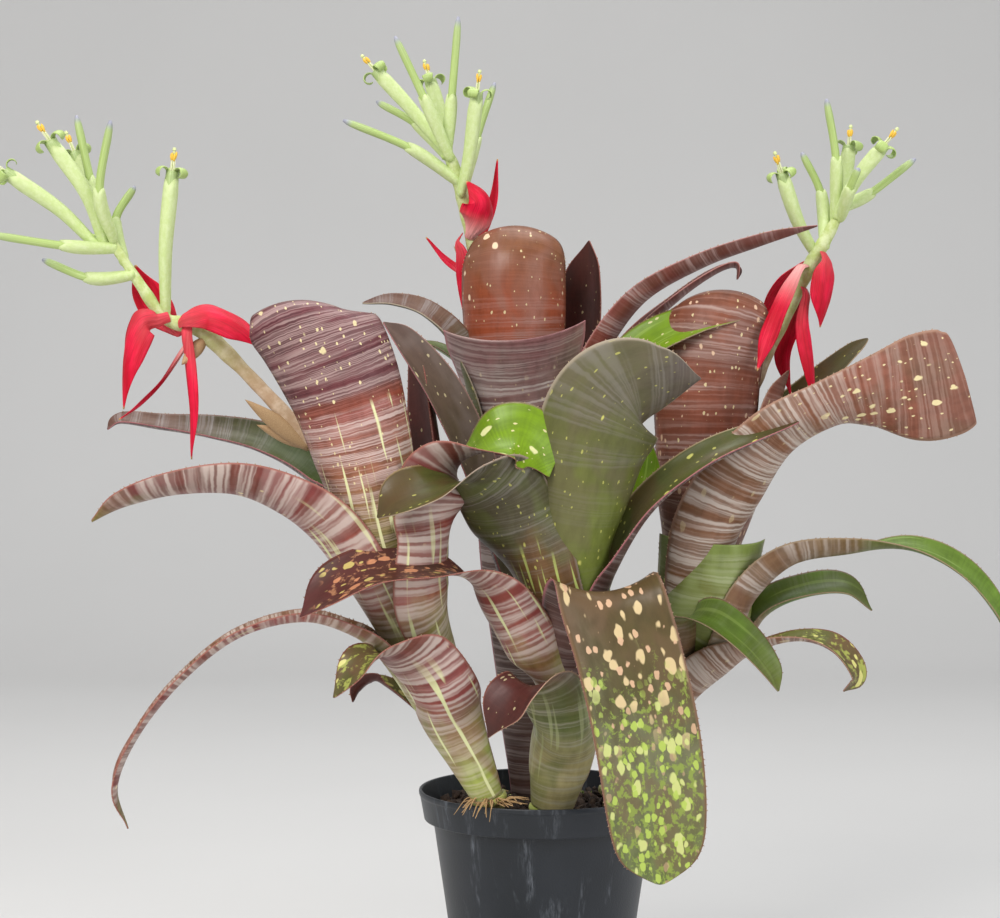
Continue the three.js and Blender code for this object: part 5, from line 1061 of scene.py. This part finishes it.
# Share of the scape's length, and how much of its radius is kept there
SLIMMER = ((0, 0.5, 0.64, 1), (0.76, 0.76, 1, 1))
# Straw-coloured scales beside the scapes: place, direction, length and width
STRAW_SCALES = {
    "left": [((-137, -68, 307), (-33, -3, 25), 44, 11), ((-139, -66, 309), (-30, 3, 12), 30, 9),
             ((-186, -66, 372), (-7, -8, -9), 22, 9)],
    "rear": [((-33, 36, 400), (-14, 0, 24), 34, 6)],
    "right": [((118, 8, 332), (-8, -6, 20), 24, 8)],
}


def make_spike(name, seed, looks):
    """Scape, flowers with their calyces, petals and stamens, and the small scales at their feet."""
    rows = scape_rows(name)
    shape = Shape()
    rng = np.random.default_rng(seed)
    at = np.linspace(0, len(rows) - 1, 120)
    line = curve(rows, at)
    wobble = 1 + 0.05 * np.sin(at * 5.1) + 0.04 * np.sin(at * 11.7)
    wobble = wobble * np.interp(at / at[-1], *SLIMMER)
    tube(shape, line[:, :3], tangents(rows, at), line[:, 3] * wobble, 20, SCAPE)
    for path, is_open in SPIKES[name]["flowers"]:
        way = np.array([spot_on(rows, path[0], 1.0)[0], *path], float)
        calyx, petals, end = (OPEN_CALYX, OPEN_PETALS, 0.95) if is_open else (CALYX, PETALS, 0.68)
        turned_shell(shape, way, calyx, (0, end), SEPAL, lobes=0.035)
        turned_shell(shape, way, petals, (0.5, 1.0), PETAL, sides=15, steps=24, spare=float(not is_open))
        mouth = way[-1]
        along = tangents(way, np.array([len(way) - 1.0]))[0]
        turn = rng.uniform(0, 2)
        if is_open:
            (u,), (v,) = carried_frames(along[None])
            for angle in (turn + ROUND * k / 3 for k in range(3)):
                petal(shape, mouth - along * 1.2, along, math.cos(angle) * u + math.sin(angle) * v, rng)
            stamens(shape, mouth, along, rng, 11.5)
        low_way = unit(way[2] - way[0])
        below = square_to(np.array([0, 0, -1.0]), low_way)
        pointed_scale(shape, way[0] + 0.8 * below, low_way, below, rng.uniform(7, 11), 5.2, 1.6, SEPAL)
    for place, way, length, width in STRAW_SCALES[name]:
        root, _ = spot_on(rows, np.array(place, float), 1.8)
        toward = unit(way)
        forward = square_to(np.array([0, -1.0, 0]), toward)
        pointed_scale(shape, root, toward, forward, length, width, 1.0, STRAW)
    placed(shape.make(f"{name}_spike_bloom", looks), f"{name}_flower_spike")


stem_look = Look("leafy_stem_skin", 0.5)
stem_cloud = stem_look.noise((120, 120, 1), 4, 0.6)
stem_green = stem_look.mix(stem_look.smooth(stem_cloud, 0.35, 0.7), (0.42, 0.5, 0.1), (0.5, 0.42, 0.2))
stem_skin = stem_look.finish(
    stem_look.mix(stem_look.smooth(stem_look.reach, 0.12, 0.3), (0.2, 0.13, 0.06), stem_green),
    stem_look.noise((500, 90, 1), 3), 0.0006)
root_look = Look("wiry_root", 0.75)
root_skin = root_look.finish(
    root_look.mix(root_look.noise((300, 200, 1), 3), (0.3, 0.16, 0.07), (0.62, 0.42, 0.2)),
    root_look.noise((2500, 800, 1), 3), 0.0003)

for stem_name, stem_rosette in ROSETTES.items():
    stem_shape = Shape()
    add_stem(stem_shape, stem_rosette)
    if stem_name == "left":
        add_roots(stem_shape, stem_rosette, 46, -160, 150, np.random.default_rng(5))
    placed(stem_shape.make(f"{stem_name}_rooted_stem", [stem_skin, root_skin]), f"{stem_name}_stem")


# Flower finishes
def spike_looks():
    """Finishes of a spike, in the order of its parts."""
    scape = Look("powdery_scape", 0.62, Specular_IOR_Level=0.3)
    dust = scape.noise((160, 160, 1), 4, 0.65)
    lower = scape.mix(scape.smooth(dust, 0.35, 0.7), (0.5, 0.33, 0.2), (0.66, 0.5, 0.35))
    upper = scape.mix(scape.smooth(dust, 0.35, 0.7), (0.42, 0.5, 0.16), (0.62, 0.68, 0.38))
    scape_skin = scape.finish(scape.mix(scape.smooth(scape.reach, 0.6, 0.82), lower, upper),
                              scape.noise((300, 900, 1), 3), 0.0004)
    sepal = Look("powdery_calyx", 0.6)
    dust = sepal.noise((420, 420, 1), 4, 0.7)
    green = sepal.ramp(sepal.reach, [(0, 0.42, 0.54, 0.15), (0.35, 0.48, 0.6, 0.22), (1, 0.52, 0.62, 0.27)])
    sepal_skin = sepal.finish(sepal.mix(sepal.smooth(dust, 0.35, 0.75, 0, 0.45), green, (0.72, 0.78, 0.5)),
                              sepal.noise((120, 1100, 1), 2), 0.0004)
    flesh = Look("green_petal", 0.45)
    tint = flesh.ramp(flesh.reach, [(0, 0.42, 0.55, 0.17), (0.7, 0.36, 0.48, 0.14), (1, 0.36, 0.46, 0.19)])
    tipped = flesh.times(flesh.smooth(flesh.reach, 0.9, 0.985), flesh.spare)
    veins = flesh.noise((60, 1800, 1), 2)
    veined = flesh.mix(flesh.smooth(veins, 0.45, 0.7, 0, 0.35), tint, (0.66, 0.76, 0.4))
    petal_skin = flesh.finish(flesh.mix(flesh.times(tipped, 0.85), veined, (0.3, 0.29, 0.42)), veins, 0.0003)
    skins = [scape_skin, sepal_skin, petal_skin]
    for name, one, two, rough in (("straw_scale", (0.3, 0.15, 0.06), (0.62, 0.44, 0.24), 0.7),
                                  ("cream_filament", (0.75, 0.76, 0.45), (0.84, 0.84, 0.62), 0.5),
                                  ("pollen_anther", (0.8, 0.42, 0.03), (0.9, 0.62, 0.1), 0.85),
                                  ("green_stigma", (0.5, 0.62, 0.25), (0.75, 0.76, 0.4), 0.5)):
        look = Look(name, rough)
        grain = look.noise((1800, 1800, 1), 3)
        skins.append(look.finish(look.mix(grain, one, two), grain, 0.0002))
    return skins


SPIKE_LOOKS = spike_looks()
for spike_seed, spike_name in enumerate(SPIKES, start=21):
    make_spike(spike_name, spike_seed, SPIKE_LOOKS)


# Bracts
def bract_look(name, pale):
    """Crimson bract skin with lengthwise veins, a paler powdered foot and a dry tip."""
    look = Look(name, 0.5, Specular_IOR_Level=0.22)
    cloud = look.noise((60, 180, 1), 3, 0.5)
    veins = look.noise((14, 1500, 1), 2, 0.5, shift=(0, 3, 0))
    red = look.mix(look.smooth(cloud, 0.35, 0.7), (0.5, 0.0, 0.016), (0.74, 0.006, 0.045))
    red = look.mix(look.smooth(veins, 0.5, 0.62, 0, 0.4), red, (0.32, 0.0, 0.015))
    foot = look.times(look.smooth(look.reach, 0.5, 0.05), pale)
    red = look.mix(foot, red, (0.85, 0.45, 0.42))
    red = look.mix(look.smooth(look.reach, 0.965, 0.995), red, (0.5, 0.3, 0.12))
    return look.finish(red, veins, 0.0006, 0.6)


BRACT_SKINS = {False: bract_look("crimson_bract", 0.12), True: bract_look("powdered_bract", 0.85)}
BRACT_FULLNESS = 1.25
BRACT_SHIFT = {"left_bract_5": np.array([4.0, 0, -3.0]), "left_bract_3": np.array([0, 0, 0.5])}
POWDERED = ("left_bract_3", "right_bract_4", "rear_bract_1", "rear_bract_4")


def make_bract(spike_name, index, told):
    """Bract from its rows, each facing the scape, moved to where its solid sits."""
    scape = scape_rows(spike_name)
    faced = [[*row, *(-spot_on(scape, row[:3], 0)[1])] for row in told]
    along = unit(np.array(told[1][:3], float) - np.array(told[0][:3], float))
    root = spot_on(scape, told[0][:3], -0.75)[0] - along * 5
    rows = np.array([[*root, 5, 50, *faced[0][5:]], *faced], float)
    t = np.linspace(0, 1, 72)
    across = np.linspace(-1, 1, 17)
    at = t * (len(rows) - 1)
    distance = arc_lengths(curve(rows, at)[:, :3])
    crease = 0.22 * np.cos(across * math.pi * 4) * np.sin(math.pi * t)[:, None]
    wave = 0.35 * np.sin(distance / 5.0 + index)[:, None] * across[None] ** 2
    narrowing = tip_narrowing(t, 0.3, 1.5, 0.02) * np.interp(t, [0, 0.15], [0.9, 1]) * BRACT_FULLNESS
    flesh = 0.4 * (1 - 0.5 * across[None] ** 6)
    shape = Shape()
    add_curled(shape, rows, at, narrowing, across, flesh, crease + wave, distance, index * 0.31)
    node = f"{spike_name}_bract_{index + 1}"
    low, high = (np.array(corner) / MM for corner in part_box(node))
    points = np.vstack(shape.points)
    move = (low + high) / 2 - (points.min(0) + points.max(0)) / 2 + BRACT_SHIFT.get(node, np.zeros(3))
    shape.points = [part + move for part in shape.points]
    placed(shape.make(f"{node}_blade", [BRACT_SKINS[node in POWDERED]]), node)


for spike_name, spike in SPIKES.items():
    for bract_index, bract_rows in enumerate(spike["bracts"]):
        make_bract(spike_name, bract_index, bract_rows)


# Pot
def rounded(points, radius, steps=5):
    """Outline with each inner corner replaced by a curve through points `radius` before and after it."""
    points = np.array(points, float)
    out = [points[0]]
    for before, corner, after in zip(points, points[1:], points[2:]):
        a, b = (corner + unit(end - corner) * min(radius, 0.45 * np.linalg.norm(end - corner))
                for end in (before, after))
        out += [(1 - f) ** 2 * a + 2 * f * (1 - f) * corner + f ** 2 * b for f in np.linspace(0, 1, steps)]
    return np.array([*out, points[-1]])


def wall_radius(height):
    """Outer radius of the pot's wall below its band."""
    top = POT_RIM_RADIUS - POT_BAND_TAPER - POT_STEP
    return POT_BASE_RADIUS + (top - POT_BASE_RADIUS) * height / (POT_HEIGHT - POT_BAND_HEIGHT)


def turned(shape, profile, sides, bumps=None):
    """Solid of revolution round Z: an outline from the axis to the axis, turned in `sides` steps."""
    angle = np.linspace(0, ROUND, sides, endpoint=False)
    radius, height = (profile[1:-1, k][:, None] * np.ones(sides) for k in range(2))
    if bumps is not None:
        height = height + bumps(radius, angle[None], height)
    points = np.stack([radius * np.cos(angle), radius * np.sin(angle), height], -1)
    top = profile[-1][1] if bumps is None else points[-1, :, 2].mean()
    shape.add_rings(points, [[0, 0, profile[0][1]], [0, 0, top]])


pot_look = Look("scuffed_black_plastic", 0.5, "object")
chalk = pot_look.noise((70, 70, 9), 4, 0.65, 0.6)
fine_chalk = pot_look.noise((500, 500, 60), 3, 0.7)
scuff = pot_look.times(pot_look.smooth(chalk, 0.52, 0.75), pot_look.smooth(fine_chalk, 0.4, 0.65))
grain = pot_look.noise((900, 900, 900), 2)
cloudy = pot_look.noise((18, 18, 10), 3)
slate = pot_look.mix(pot_look.smooth(cloudy, 0.35, 0.7), (0.008, 0.011, 0.015), (0.016, 0.02, 0.027))
POT_SKIN = pot_look.finish(pot_look.mix(pot_look.times(scuff, 0.8), slate, (0.2, 0.22, 0.25)),
                           pot_look.plus(grain, pot_look.times(scuff, 0.6)), 0.00025, 0.4,
                           pot_look.smooth(scuff, 0, 0.6, 0.42, 0.72))


def make_pot():
    """Pot turned from its outline, with drain holes cut through the floor."""
    shoulder = POT_HEIGHT - POT_BAND_HEIGHT
    band = POT_RIM_RADIUS - POT_BAND_TAPER
    base, rim, wall = POT_BASE_RADIUS, POT_RIM_RADIUS, POT_WALL
    outline = [
        (0, 0), (base - 6, 0), (base - 5, 1.2), (base - 3, 1.2), (base - 2, 0), (base - 0.6, 0),
        (wall_radius(2), 2), (wall_radius(shoulder), shoulder), (band, shoulder), (band + 0.3, shoulder + 2),
        (rim - 0.6, POT_HEIGHT - 3.4), (rim, POT_HEIGHT - 2.6), (rim, POT_HEIGHT), (rim - wall, POT_HEIGHT),
        (band - wall, shoulder + wall), (wall_radius(shoulder) - wall, shoulder + wall),
        (wall_radius(2) - wall, 2), (0, 2),
    ]
    shape = Shape()
    turned(shape, rounded(outline, 0.8), 160)
    pot = shape.make("nursery_pot", [POT_SKIN])
    cutters = Shape()
    for k in range(6):
        place = DRAIN_CIRCLE * level(ROUND * (k + 0.5) / 6)
        centres = place + np.array([[0, 0, -4.0], [0, 0, 4.0]])
        tube(cutters, centres, np.array([[0, 0, 1.0]] * 2), [DRAIN_RADIUS] * 2, 24)
    cutter = cutters.make("drain_cutter", [POT_SKIN])
    holes = pot.modifiers.new("drain", "BOOLEAN")
    holes.object = cutter
    holes.solver = "EXACT"
    graph = bpy.context.evaluated_depsgraph_get()
    cut = bpy.data.meshes.new_from_object(pot.evaluated_get(graph))
    pot.modifiers.clear()
    pot.data = cut
    bpy.data.objects.remove(cutter)
    placed(pot, "pot")


make_pot()


# Potting mix
def lumps(radius, angle, height):
    """Uneven top of the mix: a sum of waves of the place, only where the outline is at its top."""
    x, y = radius * np.cos(angle), radius * np.sin(angle)
    broad = np.sin(x / 4.3 + 1) * np.cos(y / 3.7)
    fine = 0.7 * np.sin(x / 1.9 + y / 2.3) + 0.4 * np.cos(x / 1.1 - y / 1.4)
    return np.where(height > SOIL_TOP - 0.5, 0.7 * (broad + fine), 0.0)


bark_look = Look("bark_mix", 0.9, "object")
bark_cloud = bark_look.noise((140, 140, 140), 5, 0.7)
bark_skin = bark_look.finish(
    bark_look.ramp(bark_cloud, [(0.3, 0.012, 0.008, 0.006), (0.55, 0.05, 0.03, 0.02),
                                (0.75, 0.14, 0.085, 0.05)]),
    bark_look.noise((600, 600, 600), 4), 0.0012, 0.8)
moss_look = Look("green_moss", 0.8, "object")
moss_skin = moss_look.finish(
    moss_look.mix(moss_look.noise((500, 500, 500), 3), (0.08, 0.16, 0.02), (0.28, 0.4, 0.06)),
    moss_look.noise((2000, 2000, 2000), 2), 0.0004)
CHIP_CORNERS = np.array([(x, y, z) for x in (-1, 1) for y in (-1, 1) for z in (-1, 1)], float)
CHIP_FACES = [[0, 1, 3, 2], [4, 6, 7, 5], [0, 4, 5, 1], [2, 3, 7, 6], [0, 2, 6, 4], [1, 5, 7, 3]]
CHIPS = 420
# Tufts of moss: angle and distance of their middles, and blades
TUFTS = ((-2.62, 56, 90), (-2.45, 60, 60), (-0.6, 55, 40), (1.2, 50, 60))


def make_mix():
    """Bark mix: a lumpy block filling the pot, chips of bark on it, thin roots and tufts of moss."""
    rng = np.random.default_rng(8)
    shoulder = POT_HEIGHT - POT_BAND_HEIGHT + POT_WALL + 0.35
    inside = POT_RIM_RADIUS - POT_BAND_TAPER - POT_WALL - 0.35
    outline = [(0, 2.35), (wall_radius(2) - 2, 2.35), (wall_radius(shoulder - 2) - 2, shoulder),
               (inside, shoulder), (inside, SOIL_TOP - 1),
               *((r, SOIL_TOP) for r in np.linspace(inside - 0.5, 1, 44)), (0, SOIL_TOP)]
    shape = Shape()
    turned(shape, np.array(outline), 120, lumps)
    radius = (inside - 4) * np.sqrt(rng.uniform(0, 1, CHIPS))
    angle = rng.uniform(0, ROUND, CHIPS)
    for r, a in zip(radius, angle):
        size = rng.uniform(1.2, 3.6)
        sides = np.array([size, size * rng.uniform(0.4, 0.8), size * rng.uniform(0.15, 0.4)])
        corners = CHIP_CORNERS * sides + rng.uniform(-0.25, 0.25, (8, 3)) * size
        turn = rng.normal(0, 1, (3, 3))
        turn, _ = np.linalg.qr(np.array([level(a * 3), [0, 0.3, 1], [1, 0, 0.2]]) + 0.4 * turn)
        if np.linalg.det(turn) < 0:
            turn[:, 0] *= -1
        place = r * level(a) + (0, 0, SOIL_TOP + rng.uniform(0, 1.6))
        shape.add(corners @ turn.T + place, CHIP_FACES)
    for _ in range(26):
        a, r = rng.uniform(0, ROUND), rng.uniform(15, inside - 6)
        start = r * level(a) + (0, 0, SOIL_TOP + 0.6)
        way = level(a + 1.3)
        bend = np.array([-way[1], way[0], 0])
        middle = start + way * 7 + bend * rng.uniform(-3, 3) + (0, 0, 1.6)
        rows = np.array([[*start, 0.5], [*middle, 0.45], [*(start + way * 12), 0.3]])
        rows[:, :2] *= np.minimum(1, (inside - 2) / np.hypot(rows[:, 0], rows[:, 1]))[:, None]
        rod(shape, rows, 10, 6, 1)
    for a0, r0, blades in TUFTS:
        for _ in range(blades):
            a, r = a0 + rng.normal(0, 0.07), r0 + rng.normal(0, 2.4)
            if r > inside - 2:
                continue
            start = r * level(a) + (0, 0, SOIL_TOP)
            lean = rng.normal(0, 0.5, 3)
            lean[2] = 1
            end = start + unit(lean) * rng.uniform(1.8, 3.8)
            along = np.repeat(unit(lean)[None], 3, 0)
            tube(shape, np.linspace(start, end, 3), along, [0.5, 0.42, 0.08], 5, 2)
    placed(shape.make("bark_potting_mix", [bark_skin, root_skin, moss_skin]), "soil")


make_mix()


# Stage, light and camera
def backdrop():
    """Floor and backdrop in one pale sheet, joined by a wide curve."""
    turn = np.linspace(0, math.pi / 2, 24)
    profile = [(-2.6, 0.0), *((1.4 + 0.7 * math.sin(a), 0.7 - 0.7 * math.cos(a)) for a in turn), (2.1, 3.2)]
    points = [(x, y, z - 0.0002) for y, z in profile for x in (-3.2, 0, 3.2)]
    look = Look("pale_studio_paper", 0.85, "object")
    paper = look.mix(look.noise((3, 3, 3), 2), (0.6, 0.595, 0.585), (0.64, 0.635, 0.625))
    shape = Shape()
    shape.add(np.array(points) / MM, grid_faces(len(profile), 3))
    shape.make("studio_paper", [look.finish(paper, look.noise((900, 900, 900)), 0.0001, 0.2)])


def area_light(name, place, target, size, power, colour):
    """Soft rectangular light at a place, facing a target."""
    data = bpy.data.lights.new(name, "AREA")
    data.shape = "RECTANGLE"
    data.size, data.size_y = size
    data.energy = power
    data.color = colour
    light = linked(name, data)
    light.location = place
    aim = mathutils.Vector(target) - mathutils.Vector(place)
    light.rotation_euler = aim.to_track_quat("-Z", "Y").to_euler()


def camera(place, tilt, lens):
    """Camera at the photograph's distance, height and tilt below the level, in degrees."""
    data = bpy.data.cameras.new("view")
    data.lens = lens
    data.sensor_width = 36.0
    eye = linked("view", data)
    eye.location = place
    eye.rotation_euler = (math.radians(90 - tilt), 0, 0)
    bpy.context.scene.camera = eye


backdrop()
area_light("key", (-0.9, -1.5, 1.5), (0, 0, 0.3), (1.1, 1.1), 34, (1.0, 0.97, 0.94))
area_light("fill", (1.3, -1.3, 0.8), (0, 0, 0.28), (1.2, 1.2), 14, (0.95, 0.97, 1.0))
area_light("top", (0.1, 0.3, 1.7), (0, 0, 0.3), (1.4, 1.0), 16, (1.0, 1.0, 1.0))
world = bpy.data.worlds.new("studio")
world.use_nodes = True
world.node_tree.nodes["Background"].inputs["Color"].default_value = (0.9, 0.92, 0.95, 1)
world.node_tree.nodes["Background"].inputs["Strength"].default_value = 0.5
bpy.context.scene.world = world
bpy.context.scene.view_settings.view_transform = "Standard"
camera((-0.024, -1.4983, 0.3777), 2.7, 95.6)
